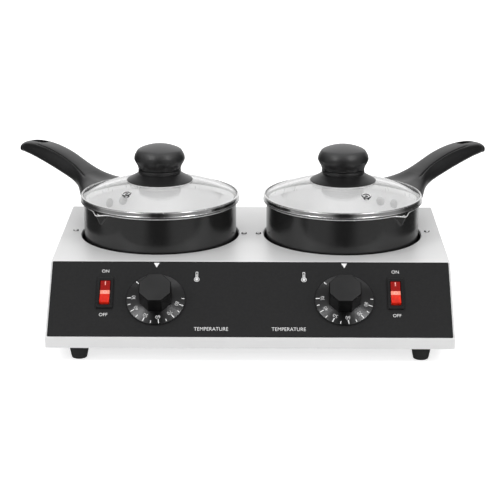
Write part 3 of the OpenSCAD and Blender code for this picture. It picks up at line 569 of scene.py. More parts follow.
def control_openings(side, reach):
    """Closed meshes, in the row frame, for the holes of a dial's shaft and of a switch in the slope."""
    shaft = placed(rod(SHAFT_HOLE_R, -reach, reach), on_slope(SIDES[side] * DIAL_X, DIAL_U, 0))
    window = plate_mesh(rounded_outline(*SWITCH_HOLE, 1.0), -reach, reach)
    return [shaft, placed(window, on_slope(SIDES[side] * SWITCH_X, SWITCH_U, 0))]


def in_rear_wall(x, z):
    return HOUSING @ shift(x, HOUSING_D, z) @ rotation(pi / 2, "X")


def housing_openings():
    """Closed meshes, in the row frame, for every hole in the sheet steel."""
    holes = []
    for side, sign in SIDES.items():
        holes.append(placed(rod(OPENING_R, -20, 20, AROUND), at_well(side, HOUSING_H)))
        holes += control_openings(side, 4)
        for i in range(LOUVRES):
            x = sign * LOUVRE_X + (i - (LOUVRES - 1) / 2) * LOUVRE_PITCH
            slot = plate_mesh(rounded_outline(*LOUVRE, LOUVRE[0] / 2 - 0.01), -3, 3)
            holes.append(placed(slot, in_rear_wall(x, LOUVRE_Z)))
    return holes + [placed(rod(GLAND_R, -3, 3), in_rear_wall(GLAND_X, GLAND_Z))]


def make_housing():
    """Folded sheet: one closed outline drawn across the width, open underneath, bends rounded."""
    outline = [(0, 0), (0, LIP_H), (SLOPE_RUN, HOUSING_H), (HOUSING_D, HOUSING_H), (HOUSING_D, 0)]
    bm = drawn_out([(-HOUSING_W / 2, y, z) for y, z in outline], (HOUSING_W, 0, 0))
    under = [f for f in bm.faces if all(v.co.z < 1e-6 for v in f.verts)]
    bmesh.ops.delete(bm, geom=under, context="FACES")
    round_edges(bm, [e for e in bm.edges if len(e.link_faces) == 2], BEND, 4)
    piece = finish_mesh(bm, "housing", HOUSING, SATIN_STEEL, "base", smooth=30)
    modify(piece, "SOLIDIFY", thickness=SHEET * MM, offset=-1, use_even_offset=True)
    cut(piece, housing_openings())
    modify(piece, "BEVEL", width=EDGE_BREAK * MM, segments=2, limit_method="ANGLE", angle_limit=radians(50))
    even_faces(piece, 35)
    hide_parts("housing_shell")


def make_fascia():
    outline = rounded_outline(HOUSING_W - 2 * FASCIA_MARGIN, SLOPE_LEN - 1.6, 1.2)
    place = SLOPE @ shift(0, SLOPE_LEN / 2 - 0.2, 0)
    bm = plate_mesh(outline, 0, FASCIA_T, 0.2)
    piece = finish_mesh(bm, "fascia", place, FASCIA_BLACK, "base", smooth=30)
    cut(piece, control_openings("left", 3) + control_openings("right", 3))
    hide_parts("control_fascia")


# ---- Prints on the fascia ----

ON_U, OFF_U, ON_SHIFT = 76.5, 25.4, 0.6
POINTER_U, POINTER_SHIFT, POINTER_W, POINTER_H = 83.9, 0.7, 5.8, 5.6
WORD_X, WORD_U, WORD_H = 38.0, 9.3, 4.1
THERMO_X, THERMO_U = 53.3, 71.4


def pointer_mesh():
    half_w, half_h = POINTER_W / 2, POINTER_H / 2
    return plate_mesh([(-half_w, half_h), (0, -half_h), (half_w, half_h)], 0, PRINT_T)


def ring_mesh(inner, outer, around):
    return turned([(inner, 0, 0), (outer, 0, 0), (outer, PRINT_T, 0), (inner, PRINT_T, 0)], around=around)


def thermometer_mesh():
    """An outlined stem with a column in it, over a ringed bulb."""
    stem_w, stem_l, line, bulb_r, bulb_u = 2.4, 8.6, 0.5, 2.7, -4.2
    bm = bmesh.new()
    for x, length in ((-1, stem_l), (0, stem_l * 0.7), (1, stem_l)):
        add_to(bm, plate_mesh(rounded_outline(line, length, line / 2.1, 3), 0, PRINT_T),
               shift(x * (stem_w - line) / 2, bulb_u + length / 2, 0))
    add_to(bm, plate_mesh(rounded_outline(stem_w, line * 1.2, line / 2, 3), 0, PRINT_T),
           shift(0, bulb_u + stem_l, 0))
    add_to(bm, rod(bulb_r * 0.55, 0, PRINT_T, 32), shift(0, bulb_u, 0))
    return add_to(bm, ring_mesh(bulb_r - line, bulb_r, 40), shift(0, bulb_u, 0))


def make_prints():
    for side, sign in SIDES.items():
        bm = bmesh.new()
        for mesh, x, u in ((lettering("ON", 3.6), SWITCH_X + ON_SHIFT, ON_U),
                           (lettering("OFF", 3.6), SWITCH_X + ON_SHIFT, OFF_U),
                           (pointer_mesh(), DIAL_X + POINTER_SHIFT, POINTER_U),
                           (thermometer_mesh(), THERMO_X, THERMO_U),
                           (lettering("TEMPERATURE", WORD_H, narrow=0.875, thin=0.009), WORD_X, WORD_U)):
            add_to(bm, mesh, shift(sign * x, u, 0))
        place = on_slope(0, 0, FASCIA_T + 0.005)
        finish_mesh(bm, f"prints_{side}", place, PRINT_WHITE, "base")


# ---- Feet and screws ----

FOOT_INSET, FOOT_SETBACK = 31.0, 24.0


def make_feet():
    places = [(sx * (HOUSING_W / 2 - FOOT_INSET), y)
              for sx in SIDES.values() for y in (FOOT_SETBACK, HOUSING_D - FOOT_SETBACK)]
    feet = bmesh.new()
    heads = bmesh.new()
    for x, y in places:
        foot = turned([(4.2, 4, 0), (4.2, 0, 0.6), (7.5, 0, 1.2), (11, FOOT_H, 0.4), (2.2, FOOT_H, 0),
                       (2.2, FOOT_H - 4, 0), (4.2, FOOT_H - 4, 0)], around=64)
        add_to(feet, foot, shift(x, y, -FOOT_H))
        add_to(heads, screw_mesh(3.8), shift(x, y, -4) @ rotation(pi, "X"))
    piece = finish_mesh(feet, "rubber_feet", HOUSING, RUBBER, "base")
    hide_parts("feet")
    piece = finish_mesh(heads, "foot_screw_heads", HOUSING, [BRIGHT_STEEL, STEEL_PAINTED_SHADE], "base")
    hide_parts("foot_screws")


def paint_shade_on_steep(bm, level):
    """Paints shade on every face that is steeper than level (the height of its normal), by giving it the
    second finish.
    """
    bm.normal_update()
    for face in bm.faces:
        face.material_index = int(abs(face.normal.z) < level)


def screw_mesh(head):
    """A pan head with a cross recess, seat at z = 0."""
    tall, arm, half_slot = head * 0.6, head * 0.52, head * 0.13
    section = [(0, tall, 0), (head * 0.66, tall, head * 0.3), (head, tall * 0.35, head * 0.3),
               (head, 0, 0.15), (0, 0, 0)]
    bm = turned(section, closed=False, around=32, steps=4)
    bmesh.ops.holes_fill(bm, edges=bm.edges)
    for turn in (0, pi / 2):
        bar = box_mesh((-arm, -half_slot, tall - 0.02), (arm, half_slot, tall + 0.03), 0.02)
        add_to(bm, bar, rotation(turn, "Z"))
    # The cross recess and the steep rim take the dark steel as painted shade.
    paint_shade_on_steep(bm, 0.75)
    return bm


DECK_SCREWS = [(90.3, 8.3), (-88.4, -1.2), (0.0, 89.5)]


def make_deck_screws():
    bm = bmesh.new()
    for sign in SIDES.values():
        for x, y in DECK_SCREWS:
            add_to(bm, screw_mesh(2.9), shift(sign * (WELL_X + x), WELL_Y + y, HOUSING_H))
    # Painted shade: the heads' faces turned to the left and right, and their low rim, take the dark steel.
    bm.normal_update()
    for face in bm.faces:
        painted_shade_rim = face.calc_center_median().z < HOUSING_H + 0.5
        face.material_index = int(abs(face.normal.x) > 0.5 or painted_shade_rim)
    heads = finish_mesh(bm, "deck_screw_heads", HOUSING, [SCREW_STEEL, STEEL_PAINTED_SHADE], "base")
    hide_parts("deck_screws")


# ---- Wells and heat plates ----

def make_well(side):
    floor, top, inner = 25.0, HOUSING_H - SHEET, OPENING_R - 1
    section = [(3.2, floor - 1, 0), (inner + 1, floor - 1, 8), (inner + 1, top - 1, 0.3), (94, top - 1, 0.3),
               (94, top, 0.3), (inner, top, 0.6), (inner, floor, 7), (3.2, floor, 0)]
    piece = finish_mesh(turned(section), f"heating_well_{side}", at_well(side), WELL_STEEL, "base")
    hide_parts(f"well_{side}")
    plate = [(0, PAN_Z, 0), (22.4, PAN_Z, 0.2), (23.8, PAN_Z - 1, 0.2), (42.2, PAN_Z - 1, 0.2),
             (43.6, PAN_Z, 0.2), (66, PAN_Z, 1.0), (66, floor, 1.0), (3, floor, 0), (3, floor - 17, 0.4),
             (0, floor - 17, 0)]
    bm = turned(plate, closed=False)
    piece = finish_mesh(bm, f"cast_plate_{side}", at_well(side), CAST_ALUMINIUM, "base")
    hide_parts(f"heat_plate_{side}")


# ---- Dials ----

SKIRT_R = 28.9
GRIP_FLATS = 31.4
GRIP_BASE = 4.8
GRIP_H = 20.0
SKIRT_EDGE_Z = 3.2
CONE_R = GRIP_FLATS / 2 + 2
TICK_STEP = 33.2
TICK_ANGLES = [178.0 + TICK_STEP * i for i in range(6)]
SCALE_MARKS = ["30", "40", "50", "60", "70", "80"]
ZERO_TICK = 135.0


def cone_height(r):
    return GRIP_BASE - (GRIP_BASE - SKIRT_EDGE_Z) * (r - CONE_R) / (SKIRT_R - CONE_R)


def on_skirt(angle, r):
    """A place on the sloping skirt, its Y pointing outwards."""
    tilt = atan2(GRIP_BASE - SKIRT_EDGE_Z, SKIRT_R - CONE_R)
    return (rotation(radians(angle), "Z") @ shift(r, 0, cone_height(r) + 0.02)
            @ rotation(tilt, "Y") @ rotation(-pi / 2, "Z"))


def tick_mesh(length, width):
    return plate_mesh(rounded_outline(width, length, 0.15, 2), 0, PRINT_T)


def make_dial(side):
    place = on_slope(SIDES[side] * DIAL_X, DIAL_U)
    body = f"dial_{side}"
    section = [(3.2, 3.2, 0), (25.9, 1.6, 0.2), (SKIRT_R, 1.6, 0.3), (SKIRT_R, SKIRT_EDGE_Z, 0.3),
               (CONE_R, GRIP_BASE, 0.3), (3.2, GRIP_BASE, 0)]
    skirt = finish_mesh(turned(section, around=192), f"numbered_skirt_{side}", place, SKIRT_BLACK[side], body)
    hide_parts(f"dial_skirt_{side}")
    marks = bmesh.new()
    for angle, text in zip(TICK_ANGLES, SCALE_MARKS):
        add_to(marks, tick_mesh(4.2, 0.95), on_skirt(angle, 26.3))
        add_to(marks, lettering(text, 3.7, thin=0.011), on_skirt(angle, 21.6))
        add_to(marks, tick_mesh(2.9, 0.8), on_skirt(angle + TICK_STEP / 2, 26.9))
    add_to(marks, tick_mesh(3.6, 0.95), on_skirt(ZERO_TICK, 26.5))
    finish_mesh(marks, f"dial_marks_{side}", place, PRINT_WHITE, body)
    grip = bmesh.new()
    corner = GRIP_FLATS / 2 / cos(radians(22.5))
    bmesh.ops.create_circle(grip, cap_ends=True, segments=8, radius=corner,
                            matrix=shift(0, 0, GRIP_BASE) @ rotation(radians(22.5), "Z"))
    draw_out(grip, grip.faces[:], (0, 0, GRIP_H))
    round_edges(grip, [e for e in grip.edges if abs(e.verts[0].co.z - e.verts[1].co.z) > 1], 0.7, 3)
    top = GRIP_BASE + GRIP_H
    round_edges(grip, [e for e in grip.edges if all(v.co.z > top - 0.01 for v in e.verts)], 1.2, 4)
    # The top face takes the lighter copy, as painted light.
    paint(grip, lambda spot: spot.z > top - 0.2)
    piece = finish_mesh(grip, f"octagonal_grip_{side}", place, [DIAL_BLACK, DIAL_TOP_PAINTED_LIGHTER], body)
    even_faces(piece)
    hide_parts(f"dial_grip_{side}")


# ---- Rocker switches ----

BEZEL = (16.2, 35.8, 2.5)
CAVITY = (11.0, 28.6)
ROCKER_W, ROCKER_HALF, ROCKER_RISE, ROCKER_SWING = 9.8, 13.4, 6.5, 12.0
ROCKER_FLAT, ROCKER_FACE = 2.3, radians(9)
ROCKER_PIVOT = -2.8
STROKE_U = 10.2


def make_switch(side):
    place = on_slope(SIDES[side] * SWITCH_X, SWITCH_U)
    bm = plate_mesh(rounded_outline(BEZEL[0], BEZEL[1], 1.2), 0, BEZEL[2], 0.6, 3)
    add_to(bm, plate_mesh(rounded_outline(BEZEL[0] - 2.4, BEZEL[1] - 3.4, 1.0), -18.8, 0.5))
    for i in (-1, 0, 1):
        add_to(bm, box_mesh((-2.4, i * 9 - 0.4, -26.8), (2.4, i * 9 + 0.4, -18.7), 0.1))
    piece = finish_mesh(bm, f"switch_frame_{side}", place, SWITCH_BLACK, "base")
    cut(piece, [placed(plate_mesh(rounded_outline(*CAVITY, 0.6), -10.8, 8), place)])
    even_faces(piece)
    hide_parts(f"switch_body_{side}")
    make_rocker(side, place)


def rocker_top(u):
    """Height of the top over the pivot, u from the middle: a narrow flat between two rising faces."""
    return ROCKER_RISE - (ROCKER_HALF - max(abs(u), ROCKER_FLAT)) * tan(ROCKER_FACE)


def make_rocker(side, place):
    body = f"rocker_{side}"
    tipped = place @ shift(0, 0, ROCKER_PIVOT) @ rotation(-radians(ROCKER_SWING / 2), "X")
    outline = [(u, rocker_top(u)) for u in (-ROCKER_HALF, -ROCKER_FLAT, ROCKER_FLAT, ROCKER_HALF)]
    outline += [(ROCKER_HALF, 1), (5, -5), (-5, -5), (-ROCKER_HALF, 1)]
    bm = drawn_out([(-ROCKER_W / 2, u, z) for u, z in outline], (ROCKER_W, 0, 0))
    round_edges(bm, [e for e in bm.edges if e.is_manifold and e.calc_face_angle(0) > radians(40)], 0.6, 3)
    folds = [e for e in bm.edges
             if all(abs(abs(v.co.y) - ROCKER_FLAT) < 0.01 and v.co.z > 3 for v in e.verts)]
    round_edges(bm, folds, 0.3, 2)
    # The flat middle strip takes the painted highlight.
    paint(bm, lambda spot: abs(spot.y) < ROCKER_FLAT and spot.z > 3)
    piece = finish_mesh(bm, f"red_rocker_{side}", tipped, [ROCKER_RED, ROCKER_PAINTED_HIGHLIGHT], body)
    even_faces(piece, 35)
    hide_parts(f"rocker_{side}")
    marks = placed(plate_mesh(rounded_outline(0.9, 4.4, 0.3, 2), 0, PRINT_T),
                   shift(0, STROKE_U, rocker_top(STROKE_U) + 0.02) @ rotation(ROCKER_FACE, "X"))
    add_to(marks, ring_mesh(1.3, 1.9, 32), shift(0, 0, rocker_top(0) + 0.02))
    finish_mesh(marks, f"rocker_marks_{side}", tipped, ROCKER_PRINT, body)


# ---- Pans ----

LIP_REACH, LIP_LEAN, LIP_HALF, LIP_SPAN = 5.5, radians(23), radians(63), radians(26)
LIP_NOSE, LIP_TURN, LIP_DIP, LIP_DEPTH, LIP_BLEND = 1.3, radians(92), tan(radians(22)), 16.0, 1.2
BASE_ROUND = 12.0
# Only the top BARE_EDGE of the bead is bare metal; the bead below it is painted shade in the black coat.
BEAD, BEAD_H, BARE_EDGE = 1.2, 2.4, 1.2


def lip_radius(away, depth, inset):
    """Distance from the pan's axis to the lip's leaning flank, at an angle away from the lip's middle."""
    tip = PAN_R + LIP_REACH - inset - depth * tan(LIP_LEAN)
    reach = tip + LIP_NOSE / tan(LIP_HALF)
    flank = reach * sin(LIP_HALF) / max(sin(LIP_HALF + abs(away)), 0.05)
    return min(flank, tip / max(cos(away), 0.05))


def from_lip(spot):
    """The turn between a point and the middle of the nearer pouring lip."""
    angle = atan2(spot.y, spot.x) - HANDLE_AZ
    return min(((angle - turn + pi) % tau - pi for turn in (-LIP_TURN, LIP_TURN)), key=abs)


def press_lips(bm):
    """Pushes the wall and its rolled edge out into the two pouring lips, whose edge dips towards the nose."""
    for vert in bm.verts:
        r = vert.co.xy.length
        depth = PAN_H - vert.co.z
        away = from_lip(vert.co)
        if r < PAN_R - PAN_T - 0.5 or depth > LIP_DEPTH + 2 or abs(away) > LIP_SPAN:
            continue
        roll = max(r - PAN_R, 0.0)
        wall = r - roll
        wanted = lip_radius(away, depth, PAN_R - wall)
        blend = max(LIP_BLEND - abs(wanted - wall), 0.0) / LIP_BLEND
        reach = max(wanted, wall) + blend * blend * LIP_BLEND / 4 - wall
        vert.co.xy *= (r + reach) / r
        vert.co.z -= reach * LIP_DIP * (1 - min(depth / LIP_DEPTH, 1))


def pan_finish(spot):
    """0 for the coat outside, 1 for the bare rolled edge, 2 for the lining, 3 for the pressed lips, a duller
    copy of the coat as painted shade. Only the top of the bead is bare; below it the bead keeps the black
    coat as painted shade.
    """
    r, z, away = spot.xy.length, spot.z, from_lip(spot)
    lip = z > PAN_H - LIP_DEPTH and abs(away) < LIP_SPAN
    if lip and r < PAN_R + 0.1 and lip_radius(away, max(PAN_H - z, 0), 0) > PAN_R + 0.3:
        return 3 if z > PAN_H - 0.3 or r > PAN_R - PAN_T / 2 else 2
    if z > PAN_H - 0.3 or (r > PAN_R + 0.05 and z > PAN_H - BARE_EDGE):
        return 1
    out, down = max(r - PAN_R + BASE_ROUND, 0), max(BASE_ROUND - z, 0)
    return 2 if hypot(out, down) < BASE_ROUND - PAN_T / 2 else 0


def make_pan(side):
    inner = PAN_R - PAN_T
    wall = [BASE_ROUND + 8, 34, 46, 54] + [PAN_H - LIP_DEPTH + 1.5 * i for i in range(10)]
    outside = [(PAN_R, z, 0) for z in wall]
    inside = [(inner, z, 0) for z in reversed(wall)]
    section = ([(0, 0.4, 0), (30, 0.4, 0.3), (31, 0, 0.3), (PAN_R, 0, BASE_ROUND)] + outside
               + [(PAN_R, PAN_H - BEAD_H, 0), (PAN_R + BEAD, PAN_H - BEAD_H, 1.0), (PAN_R + BEAD, PAN_H, 1.0),
                  (PAN_R - 0.2, PAN_H, 0), (inner, PAN_H, 0.3)]
               + inside + [(inner, PAN_T, BASE_ROUND - PAN_T), (0, PAN_T, 0)])
    bm = turned(section, closed=False, around=360, steps=5)
    paint(bm, pan_finish)
    press_lips(bm)
    finishes = [PAN_BLACK, PAN_EDGE, PAN_LINING, LIP_COAT_DULLED_AS_SHADE]
    piece = finish_mesh(bm, f"saucepan_{side}", at_pan(side), finishes, f"pan_{side}")
    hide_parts(f"pan_{side}")
    make_rivets(side)
    make_handle(side)


RIVET_SPREAD = radians(6.8)
RIVET_Z = 55.0


def make_rivets(side):
    bm = bmesh.new()
    for turn in (-RIVET_SPREAD, RIVET_SPREAD):
        head = turned([(0, 2.4, 0), (4.0, 2.0, 1.4), (5.2, 0.1, 0.3), (5.2, -0.1, 0), (2.4, -0.1, 0),
                       (2.4, -4.0, 0), (2.4, -5.2, 0), (0, -5.2, 0)], closed=False, around=48)
        seat = shift(PAN_R - PAN_T - 0.1, 0, RIVET_Z) @ rotation(-pi / 2, "Y")
        add_to(bm, head, rotation(turn, "Z") @ seat)
    place = along_handle(side)
    piece = finish_mesh(bm, f"rivet_heads_{side}", place, RIVET_COAT_PAINTED_GREYER, f"pan_{side}")
    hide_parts(f"rivets_{side}")


# Stations along the handle: distance from the pan's axis, height, width, thickness
HANDLE_NECK, HANDLE_REACH, HANDLE_TIP_R = 68.0, 251.0, 11.0
HANDLE_LINE = [
    (HANDLE_NECK, 64.5, 92, 21), (82, 64.5, 84, 24), (92, 65, 73, 24.5), (105, 66.5, 57, 24),
    (118, 69.5, 42, 22.8), (130, 73, 32.5, 22.6), (145, 77.5, 27.5, 22.6), (170, 83.5, 28, 23.2),
    (195, 87.5, 28.5, 21.3), (220, 89.5, 28, 17),
    (HANDLE_REACH - HANDLE_TIP_R, 88.5, 2 * HANDLE_TIP_R, 12.5), (HANDLE_REACH, 84.5, 4, 6),
]
HANDLE_STEPS, HANDLE_AROUND, LIGHTER_PAD_FROM = 110, 112, 120.0
SQUARE_WING, SQUARE_GRIP, SQUARE_FROM, SQUARE_TO = 2.1, 2.6, 105.0, 150.0
THUMB_R, THUMB_L, THUMB_W, THUMB_DEPTH = 104.0, 26.0, 15.0, 2.6
HANG_R, HANG_L, HANG_W = 219.0, 26.0, 9.0


def slope_at(i, k):
    a, b = HANDLE_LINE[max(i - 1, 0)], HANDLE_LINE[min(i + 1, len(HANDLE_LINE) - 1)]
    return (b[k] - a[k]) / (b[0] - a[0])


def along(r, k):
    """Smooth value of one station column at a distance from the pan's axis."""
    i = 0
    while i < len(HANDLE_LINE) - 2 and r > HANDLE_LINE[i + 1][0]:
        i += 1
    a, b = HANDLE_LINE[i], HANDLE_LINE[i + 1]
    h = b[0] - a[0]
    t = (r - a[0]) / h
    return ((2 * t ** 3 - 3 * t * t + 1) * a[k] + (t ** 3 - 2 * t * t + t) * h * slope_at(i, k)
            + (3 * t * t - 2 * t ** 3) * b[k] + (t ** 3 - t * t) * h * slope_at(i + 1, k))


def handle_width(r):
    centre = HANDLE_REACH - HANDLE_TIP_R
    if r <= centre:
        return along(r, 2)
    return max(2 * sqrt(max(HANDLE_TIP_R ** 2 - (r - centre) ** 2, 0)), 0.8)


def squareness(r):
    part = min(max((r - SQUARE_FROM) / (SQUARE_TO - SQUARE_FROM), 0), 1)
    return SQUARE_WING + (SQUARE_GRIP - SQUARE_WING) * part


def squircle(angle, power):
    c = cos(angle)
    return copysign(abs(c) ** (2 / power), c)


def swell(x, half):
    """A smooth hump of height 1, half as wide as given on each side."""
    return max(1 - (x / half) ** 2, 0) ** 2


# The seam between the top and the side of the grip, as a turn round the section, and its groove
SEAM_TURN, SEAM_HALF, SEAM_DEPTH = radians(52), radians(5), 1.5
SEAM_FROM, SEAM_TO, SEAM_FADE = 112.0, 214.0, 12.0


def handle_point(r, angle):
    """A point of the skin: a squared oval with a thumb hollow on top and a seam at each upper corner."""
    power = squareness(r)
    y = handle_width(r) / 2 * squircle(angle, power)
    z = along(r, 1) + along(r, 3) / 2 * squircle(angle - pi / 2, power)
    z -= THUMB_DEPTH * swell(r - THUMB_R, THUMB_L) * swell(y, THUMB_W) * max(sin(angle), 0)
    ends = min(max((r - SEAM_FROM) / SEAM_FADE, 0), 1) * min(max((SEAM_TO - r) / SEAM_FADE, 0), 1)
    for seam in (SEAM_TURN, pi - SEAM_TURN):
        groove = SEAM_DEPTH * swell(angle - seam, SEAM_HALF) * ends
        y -= copysign(groove, y) * 0.6
        z -= groove * 0.8
    return Vector((r, y, z))


def handle_station(t):
    """Distance from the pan's axis for t from 0 to 1, with the stations closer together near both ends."""
    eased = (1 - cos(pi * t)) / 2
    return HANDLE_NECK + (HANDLE_REACH - HANDLE_NECK) * (0.35 * t + 0.65 * eased)


def make_handle(side):
    bm = bmesh.new()
    bmesh.ops.create_grid(bm, x_segments=HANDLE_STEPS, y_segments=HANDLE_AROUND, size=0.5)
    # The top pad between the seams takes the second finish, painted lighter as light from above.
    paint(bm, lambda spot: handle_station(spot.x + 0.5) > LIGHTER_PAD_FROM
          and SEAM_TURN < (spot.y + 0.5) * tau < pi - SEAM_TURN)
    for vert in bm.verts:
        vert.co = handle_point(handle_station(vert.co.x + 0.5), (vert.co.y + 0.5) * tau)
    bmesh.ops.remove_doubles(bm, verts=bm.verts, dist=0.001)
    bmesh.ops.holes_fill(bm, edges=bm.edges)
    piece = finish_mesh(bm, f"pan_handle_{side}", along_handle(side), [HANDLE_BLACK, HANDLE_PAD_PAINTED_LIGHTER],
                        f"pan_{side}", smooth=60)
    neck = placed(rod(RING_R + 0.6, PAN_H - 1, PAN_H + 30, 192), at_pan(side))
    pocket_top = placed(rod(PAN_R + 2.3, 20, PAN_H - 0.5, 192), at_pan(side))
    slot = placed(plate_mesh(rounded_outline(HANG_L, HANG_W, HANG_W / 2 - 0.01, 10), -20, 20),
                  along_handle(side) @ shift(HANG_R, 0, along(HANG_R, 1)))
    cut(piece, [neck, pocket_top, slot])
    piece.data.set_sharp_from_angle(angle=radians(50))
    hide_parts(f"handle_{side}")


# ---- Lids ----

DOME_R, GLASS_T, GLASS_R, GLASS_LOW = 195.0, 4.0, 82.4, 1.0
DOME_TOP = 5.3 + DOME_R - sqrt(DOME_R ** 2 - GLASS_R ** 2)
VENT_R, VENT_AZ = 53.5, {"left": 234.0, "right": 294.0}
KNOB_LOW, KNOB_STACK, KNOB_TOP, KNOB_R, NECK_R, COLLAR_R = 27.6, 33.0, 59.2, 26.8, 22.4, 34.6


def at_lid(side, z=0.0):
    return at_well(side, RIM_Z + z)


def at_vent(side):
    return at_lid(side) @ rotation(radians(VENT_AZ[side]), "Z")


def dome_height(r, radius=DOME_R):
    return DOME_TOP - DOME_R + sqrt(radius ** 2 - r ** 2)


def arc(radius, r_from, r_to, steps):
    """Points along a sphere's half section, about the dome's own centre."""
    values = [r_from + (r_to - r_from) * i / steps for i in range(steps + 1)]
    return [(r, dome_height(r, radius), 0) for r in values]


def make_lid(side):
    body = f"lid_{side}"
    inner = sqrt((DOME_R - GLASS_T) ** 2 - (GLASS_LOW - DOME_TOP + DOME_R) ** 2)
    section = arc(DOME_R, 3, GLASS_R, 30) + [(GLASS_R, GLASS_LOW, 0)] + arc(DOME_R - GLASS_T, inner, 3, 30)
    bm = turned(section, around=192)
    glass = finish_mesh(bm, f"glass_dome_{side}", at_lid(side), LID_GLASS, body, smooth=50)
    cut(glass, [placed(rod(3.2, -20, 60), at_vent(side) @ shift(VENT_R, 0, 0))])
    glass.data.set_sharp_from_angle(angle=radians(50))
    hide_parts(f"lid_glass_{side}")
    make_lid_ring(side, body)
    make_vent(side, body)
    make_knob(side, body)


def make_lid_ring(side, body):
    """Rolled channel: a skirt inside the pan, a beaded foot, a flat wall and a narrow lap over the glass."""
    skirt, low, top, lap, wall = 77.2, -4.6, 6.6, RING_R - 2.4, RING_R - 0.5
    section = [(skirt - 0.8, low, 0), (skirt, low, 0.2), (skirt, 0, 0), (RING_R, 0, 0.7), (RING_R, 1.9, 0.6),
               (wall, 2.4, 0.3), (wall, top - 1.6, 0.6), (RING_R - 1.0, top, 0.7), (lap, top + 0.1, 0.2),
               (lap, top - 0.6, 0), (RING_R - 1.1, top - 1.1, 0.2), (RING_R - 0.8, 0.8, 0),
               (skirt - 0.8, 0.8, 0.2)]

    def ring_finish(spot):
        r = spot.xy.length
        # Painted shade: the underside and the lower part of the foot bead take the dark steel.
        if spot.z < 1.1:
            return 2 if r > skirt - 0.3 else 3
        # Painted reflection: the flat wall takes the darker copy of the steel.
        return r > wall - 0.3 and 2.2 < spot.z < top - 1.2

    bm = turned(section, around=256)
    paint(bm, ring_finish)
    finishes = [EDGE_STEEL, RING_WALL_PAINTED_DARKER, RING_PAINTED_SHADE, SCREW_STEEL]
    piece = finish_mesh(bm, f"lid_rim_{side}", at_lid(side), finishes, body, smooth=35)
    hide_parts(f"lid_ring_{side}")


def make_vent(side, body):
    section = [(1.7, -3.2, 0), (2.4, -3.2, 0), (2.4, 2.15, 0), (5, 2.15, 0.2), (5, 2.9, 0.2), (4.3, 3.4, 0.1),
               (3.5, 3.4, 0.2), (3.0, 2.4, 0.2), (1.7, 2.2, 0.2)]
    place = (at_vent(side) @ shift(VENT_R, 0, dome_height(VENT_R) - GLASS_T / 2)
             @ rotation(asin(VENT_R / DOME_R), "Y"))
    bm = turned(section, around=48)
    # The bore and steep faces of the eyelet take the dark steel as painted shade.
    paint_shade_on_steep(bm, 0.85)
    piece = finish_mesh(bm, f"steam_eyelet_{side}", place, [SCREW_STEEL, STEEL_PAINTED_SHADE], body)
    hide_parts(f"lid_vent_{side}")


def make_knob(side, body):
    foot = dome_height(COLLAR_R) + 0.3
    neck, low, stack = NECK_R, KNOB_LOW, KNOB_STACK
    under = [(r, dome_height(r) + 0.12, 0) for r in (COLLAR_R - 0.6, 30, 25, 20, 15, 10, 5, 2.1)]
    collar = ([(2.1, stack, 0), (neck - 0.5, stack, 0.3), (neck, stack - 0.7, 0.3), (neck, low + 2.2, 0.4),
               (neck - 0.5, low + 1.4, 0.2), (neck + 0.9, low + 0.8, 0.4), (COLLAR_R - 9, foot + 5.9, 3),
               (COLLAR_R - 3, foot + 2.6, 3), (COLLAR_R, foot + 0.8, 0.4), (COLLAR_R - 0.3, foot + 0.1, 0.1)]
              + under)
    bm = turned(collar, around=160)
    piece = finish_mesh(bm, f"knob_collar_{side}", at_lid(side), HANDLE_BLACK, body, smooth=35)
    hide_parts(f"lid_base_{side}")
    shoulder_r, shoulder_z, ball = KNOB_R - 4.2, KNOB_TOP - 5.6, 48.4
    centre = shoulder_z - sqrt(ball ** 2 - shoulder_r ** 2)
    rings = [shoulder_r * (1 - i / 12) for i in range(13)]
    top = [(r, centre + sqrt(ball ** 2 - r ** 2), 2.0 if r == shoulder_r else 0) for r in rings]
    grip = ([(0, stack, 0), (neck - 1.8, stack, 0), (neck - 1.8, stack + 0.6, 0.1),
             (neck - 0.1, stack + 0.9, 0.3), (neck + 0.6, stack + 4, 2), (KNOB_R - 1.4, stack + 7.8, 3),
             (KNOB_R, stack + 11.4, 3), (KNOB_R - 1.3, stack + 16.6, 4)] + top)
    bm = turned(grip, closed=False, around=160)
    piece = finish_mesh(bm, f"lid_knob_top_{side}", at_lid(side), KNOB_BLACK, body, smooth=35)
    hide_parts(f"lid_knob_{side}")
    seal = turned([(COLLAR_R - 2.2, -0.3, 0), (COLLAR_R - 0.1, -0.3, 0.1), (COLLAR_R - 0.1, 0.35, 0.2),
                   (COLLAR_R - 2.2, 0.6, 0)], around=160)
    for vert in seal.verts:
        vert.co.z += dome_height(vert.co.xy.length) + 0.35
    finish_mesh(seal, f"knob_seal_{side}", at_lid(side), CLEAR_SEAL, body)


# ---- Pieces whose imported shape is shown, in a better finish ----

def both(*names):
    return [f"{name}_{side}" for name in names for side in SIDES]


def refinish(material, *names):
    """Gives nodes a finish."""
    for name in names:
        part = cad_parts[name]
        part.data.materials.clear()
        part.data.materials.append(material)
        for face in part.data.polygons:
            face.material_index = 0


def refinish_hidden_parts():
    refinish(DULL_STEEL, "bottom_plate", *both("element_clamp"))
    refinish(CERAMIC, "terminal_block", *both("thermostat"))
    refinish(RUBBER, "cord_gland")
    refinish(ELEMENT_SHEATH, *both("element"))
    refinish(COPPER, *both("sensor"))
    refinish(BRIGHT_STEEL, "base_screws", *both("dial_shaft", "handle_bracket", "handle_screw", "lid_screw"))


# ---- Studio ----

DAYLIGHT = 0.67
